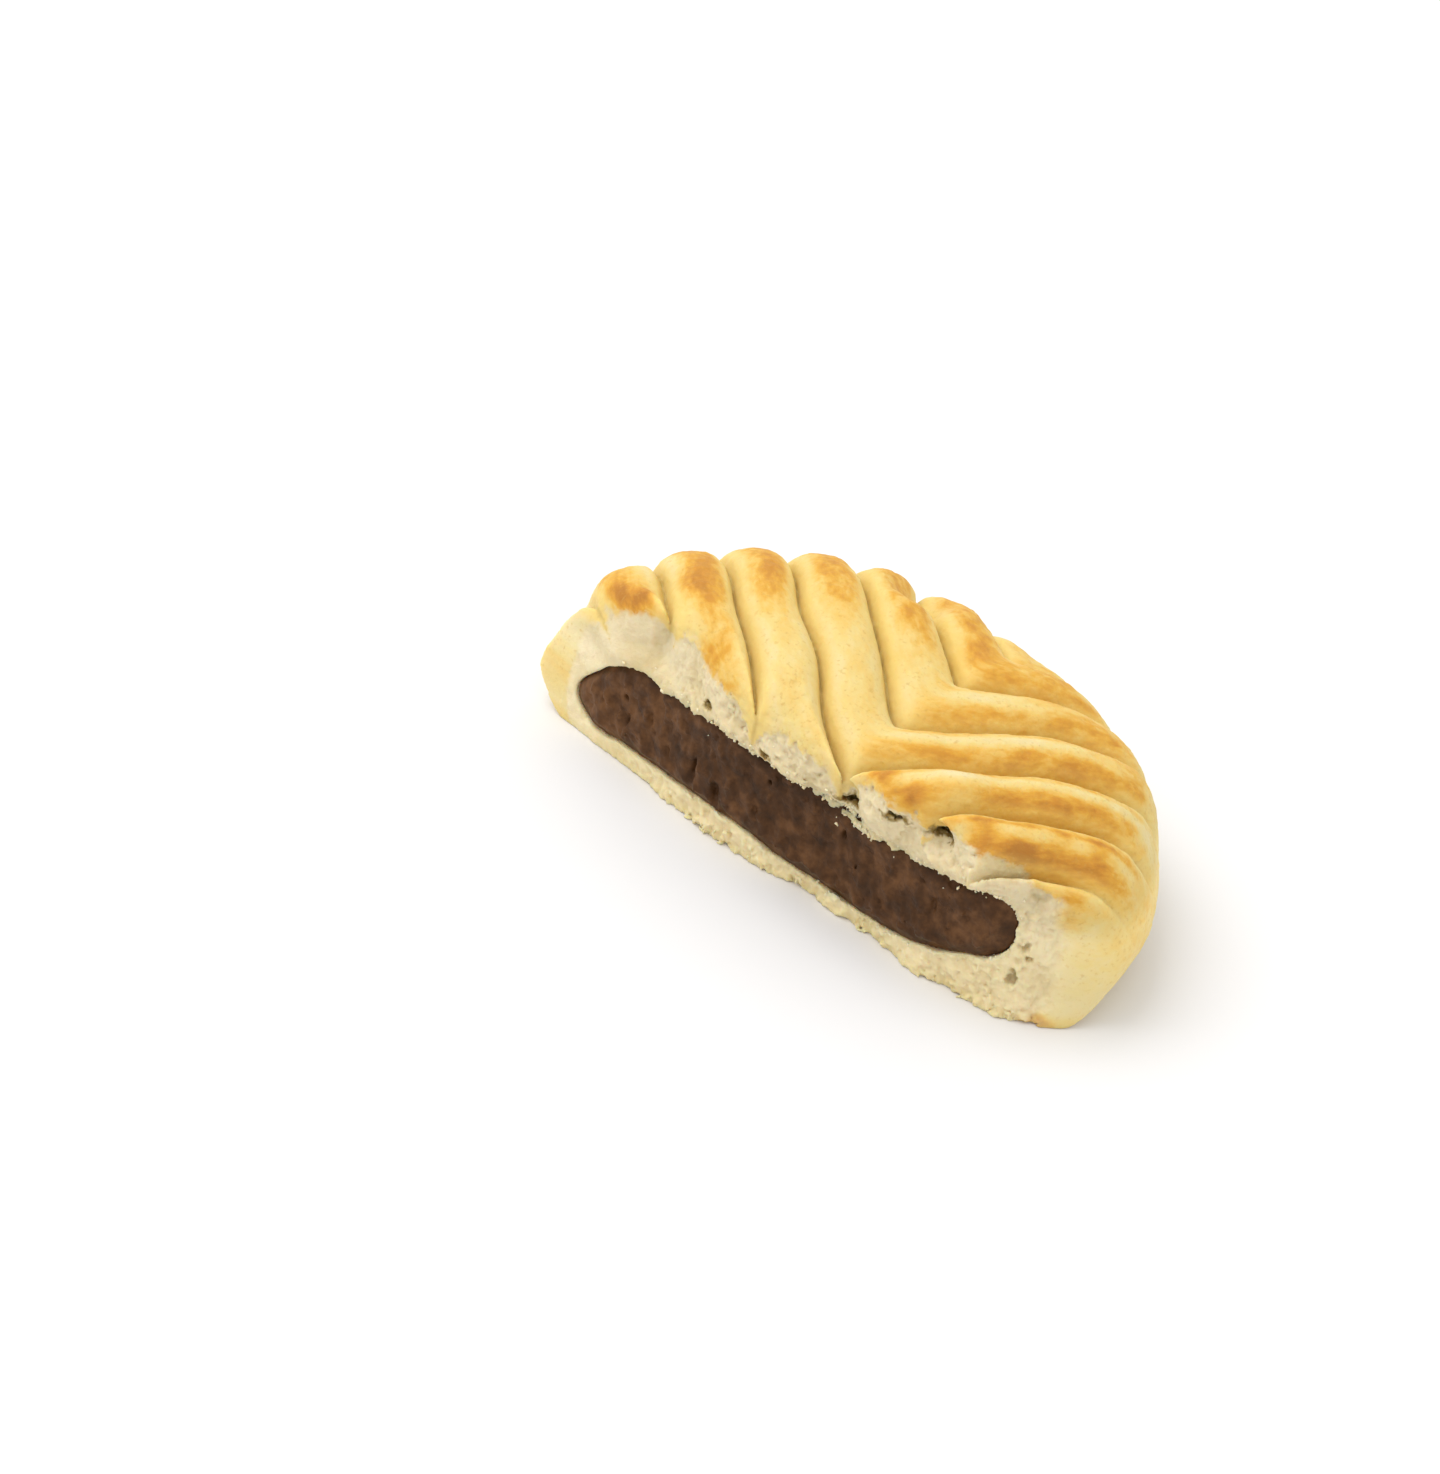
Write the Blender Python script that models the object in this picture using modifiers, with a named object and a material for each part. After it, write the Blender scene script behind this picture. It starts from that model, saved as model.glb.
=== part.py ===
# Half of a date maamoul: a pressed shortbread round, broken open across its slab of date paste.
# The broken face looks towards -Y and the flat base lies on z = 0.
# The pieces are modelled from the middle of the break, and an empty brings the
# middle of the base to the world's origin. Lengths are in metres.

import math

import bmesh
import bpy
import numpy as np

MM = 0.001
SEED = 11

# The whole round, before it was broken
RADIUS = 32.0 * MM
DEPTH_SHARE = 0.905            # front to back over side to side
CENTRE_BEHIND_BREAK = 2.85 * MM
HEIGHT = 19.0 * MM             # to the crests of the right arms
LEFT_RISE = 1.1 * MM           # the left arms' crests rise this much above them
RISE_WITHIN = 12 * MM          # of the seam
WIDEST_AT = 5.9 * MM           # height at which the wall stands out furthest
FOOT_SHARE = 0.89              # radius of the foot over RADIUS
SHOULDER_POWER = 5.6           # the higher, the squarer the shoulder
TRIM = 0.5 * MM                # modelled below the base, then cut off flat
BASE_MIDDLE = (-0.92 * MM, 14.3 * MM)  # middle of the half's box, from the middle of the break

OFF_BASE = 4 * MM              # height by which the surface may be uneven
FLATTER_TOP = 0.8              # spaces the rings of the top closer towards the shoulder
# Mounds and dips of the crests, in millimetres: x, y, how far round, how high
MOUNDS = [(8.5, 2.0, 6.0, 0.6), (14.5, 1.5, 5.5, 1.3), (25.5, 4.5, 6.0, -0.8),
          (-25.0, 5.0, 5.0, -1.1), (-32.0, 2.0, 4.5, -2.4), (-7.5, 24.0, 5.0, -2.2)]
# Bulges and hollows of the wall, in millimetres: x, y, z, how far round, how far out
BULGES = [(-31.5, 2.0, 3.8, 5.0, 1.2), (28.0, 9.0, 0.5, 8.5, -1.3), (19.5, 22.5, 13.0, 8.0, 0.8),
          (3.5, 26.0, 15.0, 4.5, -0.8)]

# Pressed ridges: nested chevrons, each with one arm either side of a seam
SEAM_TURN = math.radians(3.3)  # from +Y towards -X
SEAM_SIDE = 4.45 * MM          # to the right of the centre
SEAM_CHANGE = 2.0 * MM         # either side of it, from the left arms' form to the right arms'
LEFT_PITCH = 6.27 * MM
RIGHT_PITCH = 5.97 * MM
FIRST_GROOVE = 2.1 * MM        # beyond the centre, measured across the arms
CORNER_RADIUS = 0.7 * MM
LEFT_DEPTH = 2.15 * MM
RIGHT_DEPTH = 2.3 * MM
ARCH_POWER = 2.6               # the higher, the flatter the top of a ridge
ARCH_ROOT = 0.75
BOTTOM_ROUND = 0.12            # of a groove, as a share of half a pitch
TORN_DEPTH = 1.7 * MM          # how much deeper the grooves are torn at the break
TORN_REACH = 2.6 * MM
WOBBLE = 0.35 * MM             # of the arms from side to side
WOBBLE_LENGTH = 14 * MM
SWELL = 0.3 * MM               # of the surface in and out
SWELL_LENGTH = 22 * MM
FADE_TOP = 17.0 * MM           # below this height the grooves grow shallow
FADE_FROM = 2.0 * MM           # below FADE_TOP
LOSS_FROM = 3.0 * MM           # below FADE_TOP
LOSS_TO = 1.0 * MM             # above FADE_TOP
LEFT_FADE_END = 6.5 * MM
RIGHT_FADE_END = 8.5 * MM
LEFT_SHOULDER_LOSS = 0.31      # how much of their depth the grooves lose on the shoulder
RIGHT_SHOULDER_LOSS = 0.7

# The break, seen from above: how far it stands back at each place along it
BREAK_LINE = [(-33, 2.2), (-26, 1.4), (-20, 0.9), (-14, 0.0), (-8, -0.75), (-3, -0.4), (3, 0.2),
              (9, -0.2), (15, -0.5), (20, -0.2), (23.5, 0.8), (27, 3.1), (31, 6.6), (36, 12.0)]
# The upper crust hangs forward in the middle
CRUST_LINE = [(-33, 0.4), (-20, 0.8), (-11, -0.5), (-3, -1.7), (3, -2.5), (6, -2.1), (9, -1.8),
              (13, -1.2), (18, -0.8), (23, -0.3), (36, 0.0)]
CRUST_FRONT = -2.5 * MM
CRUST_FROM = 11.5 * MM
CRUST_FULL = 14.0 * MM
# Rounding of the crust's broken edge at each place along it
LIP_LINE = [(-33, 2.4), (-18, 2.6), (-12, 3.6), (-2, 3.4), (3, 2.2), (6, 1.3), (16, 1.3),
            (22, 2.0), (36, 3.0)]
LIP_FROM = 9.0 * MM
LIP_FULL = 14.0 * MM
# Noses and hollows of the broken face: x, z, half width, half height, how far forward
NOSES = [(-24.0, 13.0, 4.5, 5.5, 1.1), (-19.6, 15.5, 1.6, 4.0, -0.8), (-14.5, 14.5, 3.6, 3.5, 0.5),
         (5.4, 14.6, 2.0, 2.6, -1.3), (9.6, 16.0, 3.6, 4.2, 1.0), (15.2, 16.0, 2.2, 2.3, -1.8),
         (20.0, 14.8, 4.2, 4.6, 1.1), (24.6, 13.6, 1.8, 2.2, -1.2), (26.5, 0.0, 6.5, 3.6, 1.1)]
BREAK_ROUGHNESS = 0.22 * MM
ROUGH_LENGTH = 5.0 * MM
FINE_LENGTH = 2.4 * MM
FINE_SHARE = 0.6               # of the roughness

# The slab of date paste: its middle height and half thickness at each place along the break
PASTE_RADIUS = 26.0 * MM
PASTE_LEFT_OF_CENTRE = 2.3 * MM
PASTE_MIDDLE = [(-28, 4.3), (-26, 4.85), (-24, 5.85), (-21, 6.8), (-16, 7.2), (-12, 7.85),
                (-10, 8.15), (-6, 7.9), (-2, 7.5), (1, 7.1), (5, 6.85), (9, 7.05), (13, 7.3),
                (16, 8.0), (18, 8.5), (20, 9.1), (22, 9.3), (26, 9.4)]
PASTE_HALF = [(-28, 3.3), (-26, 4.4), (-24, 5.1), (-21, 5.2), (-16, 4.8), (-12, 4.95), (-10, 5.1),
              (-6, 4.85), (-2, 5.3), (5, 5.05), (9, 5.1), (13, 4.95), (16, 5.0), (18, 5.1),
              (20, 5.35), (22, 5.8), (26, 5.8)]
PASTE_SIDE_POWER = 5.0
PASTE_TOP_POWER = 2.5
PASTE_PROUD = 0.35 * MM
GAP = 0.3 * MM                 # between the paste and the dough round it

# Fineness of the meshes
TURN_STEPS = 300
TOP_RINGS = 80
WALL_RINGS = 16
SHEET_STEP = 1.05 * MM
BLOCK_DEPTH = 40 * MM
PASTE_STEPS = 56
PASTE_RINGS = 16
SHEET_WIDTH = 76 * MM
SHEET_HEIGHT = 32 * MM
SHEET_FROM = -6 * MM
DOUGH_KEPT = 0.21              # share of the turned round's faces that its form needs
BASE_BLOCK = (90 * MM, 6 * MM)  # side and thickness of what is cut away below the base
SHARP_FROM = math.radians(45)


def curve_through(points, x):
    """The smooth curve through points given in millimetres, at x in metres."""
    xs, ys = np.array(points, float).T * MM
    slopes = np.gradient(ys, xs)
    x = np.clip(x, xs[0], xs[-1])
    i = np.clip(np.searchsorted(xs, x) - 1, 0, len(xs) - 2)
    width = xs[i + 1] - xs[i]
    u = (x - xs[i]) / width
    return ((2 * u**3 - 3 * u**2 + 1) * ys[i] + (u**3 - 2 * u**2 + u) * width * slopes[i]
            + (3 * u**2 - 2 * u**3) * ys[i + 1] + (u**3 - u**2) * width * slopes[i + 1])


def smooth_step(low, high, value):
    u = np.clip((value - low) / (high - low), 0, 1)
    return u * u * (3 - 2 * u)


def mixed(left, right, share):
    return left + (right - left) * share


def ripple(points, wavelength, salt):
    """Soft unevenness between about -1 and 1: a sum of waves in seeded directions."""
    rng = np.random.default_rng(SEED + salt)
    total = np.zeros(len(points))
    for _ in range(9):
        direction = rng.normal(size=3)
        direction /= np.linalg.norm(direction)
        length = wavelength * rng.uniform(0.7, 1.5)
        total += np.sin(points @ direction * (2 * math.pi / length) + rng.uniform(0, 2 * math.pi))
    return total / 4


def seam_distances(x, y):
    """How far a place lies along the seam, and to its right."""
    along_x, along_y = -math.sin(SEAM_TURN), math.cos(SEAM_TURN)
    y = y - CENTRE_BEHIND_BREAK
    return x * along_x + y * along_y, x * along_y - y * along_x - SEAM_SIDE


def right_share(x, y):
    """0 on the left arms, 1 on the right arms, with a short change at the seam."""
    return smooth_step(-SEAM_CHANGE, SEAM_CHANGE, seam_distances(x, y)[1])


def groove_share(x, y):
    """1 at the bottom of a groove and 0 on a crest."""
    along, side = seam_distances(x, y)
    across = (along - np.hypot(side, CORNER_RADIUS)) / math.sqrt(2) - FIRST_GROOVE
    turns = across / mixed(LEFT_PITCH, RIGHT_PITCH, right_share(x, y))
    to_bottom = 1 - np.abs(2 * (turns - np.floor(turns)) - 1)
    crest = math.hypot(1, BOTTOM_ROUND)
    from_crest = (crest - np.hypot(to_bottom, BOTTOM_ROUND)) / (crest - BOTTOM_ROUND)
    return 1 - (1 - from_crest**ARCH_POWER)**ARCH_ROOT


def crest_rise(x, y, z):
    """How far the left arms, the mounds and the dips stand out of an even dome."""
    rise = LEFT_RISE * smooth_step(0, -RISE_WITHIN, seam_distances(x, y)[1])
    for middle_x, middle_y, reach, height in np.array(MOUNDS) * MM:
        away = np.hypot(x - middle_x, y - middle_y)
        rise = rise + height * (1 - smooth_step(0, reach, away))
    return rise * smooth_step(WIDEST_AT, FADE_TOP, z)


def wall_rise(points):
    """How far the bulges and hollows move the wall out."""
    rise = np.zeros(len(points))
    for *middle, reach, out in np.array(BULGES) * MM:
        away = np.linalg.norm(points - middle, axis=1)
        rise += out * (1 - smooth_step(0, reach, away))
    return rise


def crest_height(x, y):
    """Height of the crests above the base."""
    share = np.hypot(x, (y - CENTRE_BEHIND_BREAK) / DEPTH_SHARE) / RADIUS
    drop = np.clip(share, 0, 1)**SHOULDER_POWER
    dome = WIDEST_AT + (HEIGHT - WIDEST_AT) * np.sqrt(1 - drop)
    return dome + crest_rise(x, y, dome)


def pressed(points, normals):
    """Moves the turned round's surface in, where the mould pressed its grooves."""
    x, y, z = points.T
    wx = x + WOBBLE * ripple(points, WOBBLE_LENGTH, 1)
    wy = y + WOBBLE * ripple(points, WOBBLE_LENGTH, 2)
    right = right_share(x, y)
    depth = mixed(LEFT_DEPTH, RIGHT_DEPTH, right)
    loss = mixed(LEFT_SHOULDER_LOSS, RIGHT_SHOULDER_LOSS, right)
    kept = 1 - loss * (1 - smooth_step(FADE_TOP - LOSS_FROM, FADE_TOP + LOSS_TO, z))
    fade = smooth_step(mixed(LEFT_FADE_END, RIGHT_FADE_END, right), FADE_TOP - FADE_FROM, z)
    torn = TORN_DEPTH * np.exp(-np.clip(y - CRUST_FRONT, 0, None) / TORN_REACH)
    sink = (depth * kept + torn) * fade * groove_share(wx, wy)
    uneven = SWELL * ripple(points, SWELL_LENGTH, 3) * smooth_step(0, OFF_BASE, z)
    swell = crest_rise(x, y, z) + wall_rise(points) + uneven
    return points + normals * (swell - sink)[:, None]


def break_depth(x, z):
    """How far back the broken face stands, at x along it and z above the base."""
    lower = curve_through(BREAK_LINE, x)
    upper = curve_through(CRUST_LINE, x)
    face = lower + upper * smooth_step(CRUST_FROM, CRUST_FULL, z)
    for middle_x, middle_z, wide, high, out in np.array(NOSES) * MM:
        away = np.hypot((x - middle_x) / wide, (z - middle_z) / high)
        face = face - out * (1 - smooth_step(0, 1, away))
    lip = curve_through(LIP_LINE, x)
    into_lip = np.clip((z - crest_height(x, face) + lip) / lip, 0, 1)
    into_lip = into_lip * smooth_step(LIP_FROM, LIP_FULL, z)
    return face + lip * (1 - np.sqrt(1 - into_lip**2))


def mesh_object(name, mesh, collection, location_of):
    obj = bpy.data.objects.new(name, mesh)
    collection.objects.link(obj)
    obj.parent = location_of
    return obj


def cutter_object(mesh, collection, location_of):
    cutter = mesh_object(mesh.name, mesh, collection, location_of)
    cutter.hide_render = True
    cutter.display_type = "WIRE"
    return cutter


def move_vertices(mesh, moved):
    mesh.vertices.foreach_set("co", moved.astype(np.float32).ravel())
    mesh.update()


def vectors_of(items, what):
    values = np.empty(3 * len(items), np.float32)
    items.foreach_get(what, values)
    return values.reshape(-1, 3).astype(float)


def turned_mesh(name, profile, steps):
    """A profile in x and z, from the top of the axis down its outer side, turned round the axis."""
    line = bpy.data.meshes.new(name + "_profile")
    edges = [(i, i + 1) for i in range(len(profile) - 1)]
    line.from_pydata([(x, 0, z) for x, z in profile], edges, [])
    holder = bpy.data.objects.new(name + "_profile", line)
    bpy.context.scene.collection.objects.link(holder)
    screw = holder.modifiers.new("Turn", "SCREW")
    screw.steps = steps
    screw.render_steps = steps
    screw.use_merge_vertices = True
    screw.merge_threshold = 1e-6
    graph = bpy.context.evaluated_depsgraph_get()
    mesh = bpy.data.meshes.new_from_object(holder.evaluated_get(graph))
    mesh.name = name
    bpy.data.objects.remove(holder)
    bpy.data.meshes.remove(line)
    return mesh


def round_profile():
    """The round's crests: flat top, rounded shoulder, swelling wall and a smaller foot."""
    points = []
    for out in np.sin(np.linspace(0, math.pi / 2, TOP_RINGS))**FLATTER_TOP:
        drop = min(out, 1)**SHOULDER_POWER
        points.append((RADIUS * out, WIDEST_AT + (HEIGHT - WIDEST_AT) * math.sqrt(1 - drop)))
    for i in range(1, WALL_RINGS + 1):
        down = i / WALL_RINGS
        radius = RADIUS * (FOOT_SHARE + (1 - FOOT_SHARE) * math.sqrt(1 - down**2))
        points.append((radius, WIDEST_AT + (-TRIM - WIDEST_AT) * down))
    return points + [(0, -TRIM)]


def paste_profile(size):
    """Half of a rounded slab one unit high and size across."""
    angles = np.linspace(math.pi / 2, -math.pi / 2, PASTE_RINGS + 1)
    reach = np.abs(np.cos(angles))**(2 / PASTE_SIDE_POWER)
    height = np.sign(np.sin(angles)) * np.abs(np.sin(angles))**(2 / PASTE_TOP_POWER)
    reach[0] = reach[-1] = 0
    return [(size * r, h) for r, h in zip(reach, height)]


def round_mesh():
    mesh = turned_mesh("dough", round_profile(), TURN_STEPS)
    points = vectors_of(mesh.vertices, "co")
    points[:, 1] = points[:, 1] * DEPTH_SHARE + CENTRE_BEHIND_BREAK
    move_vertices(mesh, points)
    move_vertices(mesh, pressed(points, vectors_of(mesh.vertex_normals, "vector")))
    return mesh


def paste_mesh(name, grow):
    """The slab of paste, or with grow the hollow that it lies in."""
    mesh = turned_mesh(name, paste_profile(PASTE_RADIUS + grow), PASTE_STEPS)
    points = vectors_of(mesh.vertices, "co")
    share = points[:, 2]
    x = points[:, 0] - PASTE_LEFT_OF_CENTRE
    points[:, 0] = x
    points[:, 1] = points[:, 1] * DEPTH_SHARE + CENTRE_BEHIND_BREAK
    points[:, 2] = curve_through(PASTE_MIDDLE, x) + share * (curve_through(PASTE_HALF, x) + grow)
    move_vertices(mesh, points)
    return mesh


def break_cutter(name, shift, collection, location_of):
    """A block whose back is the broken face, moved by shift."""
    bm = bmesh.new()
    columns, rows = round(SHEET_WIDTH / SHEET_STEP), round(SHEET_HEIGHT / SHEET_STEP)
    bmesh.ops.create_grid(bm, x_segments=columns, y_segments=rows, size=0.5)
    for vertex in bm.verts:
        vertex.co = (vertex.co.x * SHEET_WIDTH, 0, (vertex.co.y + 0.5) * SHEET_HEIGHT + SHEET_FROM)
    front = bmesh.ops.extrude_face_region(bm, geom=bm.faces[:])["geom"]
    moved = [part for part in front if isinstance(part, bmesh.types.BMVert)]
    bmesh.ops.translate(bm, verts=moved, vec=(0, -BLOCK_DEPTH, 0))
    bmesh.ops.recalc_face_normals(bm, faces=bm.faces[:])
    mesh = bpy.data.meshes.new(name)
    bm.to_mesh(mesh)
    bm.free()
    points = vectors_of(mesh.vertices, "co")
    back = points[:, 1] > -BLOCK_DEPTH / 2
    sheet = points[back]
    rough = ripple(sheet, ROUGH_LENGTH, 4) + FINE_SHARE * ripple(sheet, FINE_LENGTH, 5)
    face = break_depth(sheet[:, 0], sheet[:, 2])
    points[back, 1] = face + BREAK_ROUGHNESS * rough + shift
    move_vertices(mesh, points)
    return cutter_object(mesh, collection, location_of)


def base_cutter(collection, location_of):
    """A block whose top is the plane that the half rests on."""
    side, thickness = BASE_BLOCK
    bm = bmesh.new()
    bmesh.ops.create_cube(bm, size=1)
    bmesh.ops.scale(bm, verts=bm.verts[:], vec=(side, side, thickness))
    bmesh.ops.translate(bm, verts=bm.verts[:], vec=(0, 0, -thickness / 2))
    mesh = bpy.data.meshes.new("below_base")
    bm.to_mesh(mesh)
    bm.free()
    return cutter_object(mesh, collection, location_of)


def cut_by(obj, cutter):
    boolean = obj.modifiers.new("Cut by " + cutter.name, "BOOLEAN")
    boolean.operation = "DIFFERENCE"
    boolean.object = cutter


def thinned(obj, share):
    decimate = obj.modifiers.new("Fewer faces", "DECIMATE")
    decimate.ratio = share
    decimate.use_collapse_triangulate = True


def finish_of(name, colour, roughness):
    material = bpy.data.materials.new(name)
    material.use_nodes = True
    shader = material.node_tree.nodes["Principled BSDF"]
    shader.inputs["Base Color"].default_value = (*colour, 1)
    shader.inputs["Roughness"].default_value = roughness
    shader.inputs["Metallic"].default_value = 0
    return material


def main():
    for obj in list(bpy.data.objects):
        bpy.data.objects.remove(obj)
    pieces = bpy.data.collections.new("date_maamoul")
    cutters = bpy.data.collections.new("cutters")
    for collection in (pieces, cutters):
        bpy.context.scene.collection.children.link(collection)
    base_middle = bpy.data.objects.new("base_middle", None)
    base_middle.location = (-BASE_MIDDLE[0], -BASE_MIDDLE[1], 0)
    pieces.objects.link(base_middle)

    dough = mesh_object("dough", round_mesh(), pieces, base_middle)
    paste = mesh_object("date_paste", paste_mesh("date_paste", 0), pieces, base_middle)
    hollow = cutter_object(paste_mesh("hollow", GAP), cutters, base_middle)
    thinned(dough, DOUGH_KEPT)
    cut_by(dough, break_cutter("break_of_dough", 0, cutters, base_middle))
    cut_by(dough, hollow)
    cut_by(dough, base_cutter(cutters, base_middle))
    cut_by(paste, break_cutter("break_of_paste", -PASTE_PROUD, cutters, base_middle))
    dough.data.materials.append(finish_of("baked_dough", (0.70, 0.46, 0.20), 0.7))
    paste.data.materials.append(finish_of("date_paste", (0.09, 0.04, 0.025), 0.5))
    for piece in (dough, paste):
        piece.data.shade_smooth()
        piece.data.set_sharp_from_angle(angle=SHARP_FROM)


main()
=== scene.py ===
import math

import bmesh
import bpy
import numpy as np
from mathutils import Matrix, Vector


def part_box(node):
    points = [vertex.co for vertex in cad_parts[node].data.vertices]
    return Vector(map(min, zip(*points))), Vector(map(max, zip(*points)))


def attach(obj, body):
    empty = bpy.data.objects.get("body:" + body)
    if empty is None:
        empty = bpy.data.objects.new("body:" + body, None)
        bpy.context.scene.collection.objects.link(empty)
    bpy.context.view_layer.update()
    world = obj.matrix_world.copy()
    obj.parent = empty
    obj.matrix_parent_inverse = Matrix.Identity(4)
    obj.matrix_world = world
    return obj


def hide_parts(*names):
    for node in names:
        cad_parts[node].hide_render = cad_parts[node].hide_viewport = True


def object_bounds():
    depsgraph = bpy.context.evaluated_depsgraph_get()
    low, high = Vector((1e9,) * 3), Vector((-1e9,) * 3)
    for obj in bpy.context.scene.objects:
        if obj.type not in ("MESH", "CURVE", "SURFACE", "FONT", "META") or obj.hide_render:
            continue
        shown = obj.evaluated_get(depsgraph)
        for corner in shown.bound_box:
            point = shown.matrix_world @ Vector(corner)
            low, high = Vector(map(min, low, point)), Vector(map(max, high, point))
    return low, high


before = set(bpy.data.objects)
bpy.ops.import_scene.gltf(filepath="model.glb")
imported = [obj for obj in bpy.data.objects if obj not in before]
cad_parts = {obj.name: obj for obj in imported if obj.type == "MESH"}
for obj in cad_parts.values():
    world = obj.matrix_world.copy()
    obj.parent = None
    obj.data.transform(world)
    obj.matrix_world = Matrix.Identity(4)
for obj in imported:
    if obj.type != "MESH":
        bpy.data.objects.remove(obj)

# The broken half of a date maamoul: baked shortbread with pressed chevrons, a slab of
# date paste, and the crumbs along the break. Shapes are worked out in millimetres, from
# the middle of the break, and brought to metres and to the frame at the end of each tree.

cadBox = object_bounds()
mm = 0.001
perMetre = 1000.0                  # millimetres

calc = "ShaderNodeMath"            # works on numbers
vec = "ShaderNodeVectorMath"       # works on places
span = "ShaderNodeMapRange"        # takes one range of numbers to another
modeOf = {calc: "operation", vec: "operation", span: "interpolation_type"}
noiseLow, noiseHigh = 0.25, 0.75   # most of a noise's values lie between these

print("frame loaded")


# Small helpers

def linear(hexColour, alpha=1.0):
    # an sRGB hex colour as the linear values that shaders take
    values = [int(hexColour[i:i + 2], 16) / 255 for i in (1, 3, 5)]
    return [v / 12.92 if v <= 0.04045 else ((v + 0.055) / 1.055) ** 2.4 for v in values] + [alpha]


def addNode(tree, kind, inputs=(), stops=(), curve=(), **settings):
    # adds one node, gives it its settings, and fills its sockets with values or links
    node = tree.nodes.new(kind)
    for name, value in settings.items():
        setattr(node, name, value)
    for i, (place, colour) in enumerate(stops):
        elements = node.color_ramp.elements
        if i == 0:
            elements.remove(elements[1])
            elements[0].position = place
        stop = elements[0] if i == 0 else elements.new(place)
        stop.color = linear(colour)
    for i, point in enumerate(curve):
        points = node.mapping.curves[0].points
        if i in (0, len(curve) - 1):
            points[0 if i == 0 else -1].location = point
        else:
            points.new(*point)
    if curve:
        node.mapping.update()
    pairs = inputs.items() if isinstance(inputs, dict) else enumerate(inputs)
    for name, value in pairs:
        if value is None:
            continue
        if isinstance(value, bpy.types.Node):
            value = value.outputs[0]
        if isinstance(value, bpy.types.NodeSocket):
            tree.links.new(value, node.inputs[name])
        else:
            node.inputs[name].default_value = value
    return node


def addSteps(tree, made, steps):
    # each step: its name, its mode, then what goes in: earlier names or numbers. With a list
    # of points for its mode it reads the line through them, and a sum or product may be long.
    for name, mode, *values in steps:
        inputs = [made[value] if isinstance(value, str) else value for value in values]
        if isinstance(mode, list):
            made[name] = lineThrough(tree, mode, *inputs)
            continue
        onPlaces = any(isinstance(value, tuple) or getattr(value, "type", "") == "VECTOR"
                       for value in inputs)
        kind = span if mode in ("LINEAR", "SMOOTHSTEP") else vec if onPlaces else calc
        while mode in ("ADD", "MULTIPLY") and len(inputs) > 2:
            inputs[:2] = [addNode(tree, kind, inputs[:2], operation=mode)]
        node = addNode(tree, kind, inputs, **{modeOf[kind]: mode})
        made[name] = node.outputs[1 if mode in ("LENGTH", "DOT_PRODUCT", "DISTANCE") else 0]


def spotSteps(name, place, spots, fade=(0.0, 1.0), join="ADD", start=0.0, mode="SMOOTHSTEP"):
    # steps that join spots: each has its middle, its reach or half sizes, its value there
    # and, where it isn't 0, its value outside
    steps = []
    total = start
    for middle, reach, inner, *outer in spots:
        if isinstance(reach, tuple):
            steps += [("fromSpot", "SUBTRACT", place, middle),
                      ("spotShare", "DIVIDE", "fromSpot", reach),
                      ("spotFar", "LENGTH", "spotShare")]
            reach = 1.0
        else:
            steps += [("spotFar", "DISTANCE", place, middle)]
        steps += [("spot", mode, "spotFar", fade[0] * reach, fade[1] * reach, inner,
                   outer[0] if outer else 0.0),
                  (name, join, "spot", total)]
        total = name
    return steps


def startTree(name, values):
    # a geometry tree with one named input for each number in values
    tree = bpy.data.node_groups.new(name, "GeometryNodeTree")
    tree.interface.new_socket("Geometry", in_out="OUTPUT", socket_type="NodeSocketGeometry")
    tree.interface.new_socket("Geometry", in_out="INPUT", socket_type="NodeSocketGeometry")
    for key, value in values.items():
        socket = tree.interface.new_socket(key, in_out="INPUT", socket_type="NodeSocketFloat")
        socket.default_value = value
    start = addNode(tree, "NodeGroupInput")
    return tree, {key: start.outputs[key] for key in values}


def meshFrom(tree, name, values, keep=None):
    # runs the tree on a new object and keeps the result as a plain mesh
    obj = bpy.data.objects.new(name, bpy.data.meshes.new(name))
    bpy.context.scene.collection.objects.link(obj)
    modifier = obj.modifiers.new("Made", "NODES")
    modifier.node_group = tree
    for item in tree.interface.items_tree:
        if item.in_out == "INPUT" and item.name in values:
            modifier[item.identifier] = values[item.name]
    if keep:
        thinner = obj.modifiers.new("Fewer faces", "DECIMATE")
        thinner.ratio = keep
    graph = bpy.context.evaluated_depsgraph_get()
    mesh = bpy.data.meshes.new_from_object(obj.evaluated_get(graph))
    obj.modifiers.clear()
    obj.data = mesh
    mesh.name = name
    mesh.shade_smooth()
    return obj


def dropSpecks(obj, least=100):
    # deletes the specks, of fewer points than least, that the volume leaves loose by the piece
    net = bmesh.new()
    net.from_mesh(obj.data)
    seen = set()
    specks = []
    for start in net.verts:
        if start.index in seen:
            continue
        seen.add(start.index)
        part = [start]
        for vertex in part:
            for edge in vertex.link_edges:
                other = edge.other_vert(vertex)
                if other.index not in seen:
                    seen.add(other.index)
                    part.append(other)
        if len(part) < least:
            specks += part
    bmesh.ops.delete(net, geom=specks, context="VERTS")
    net.to_mesh(obj.data)
    net.free()


def keepInside(obj, low, high, margin=0.02 * mm):
    # no point stands outside the solid's box
    points = np.empty(3 * len(obj.data.vertices), np.float32)
    obj.data.vertices.foreach_get("co", points)
    points = np.clip(points.reshape(-1, 3), np.array(low) + margin, np.array(high) - margin)
    obj.data.vertices.foreach_set("co", points.ravel())
    obj.data.update()


waves = {"seed": 11, "count": 9, "shortest": 0.7, "longest": 1.5, "calm": 4.0}


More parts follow.
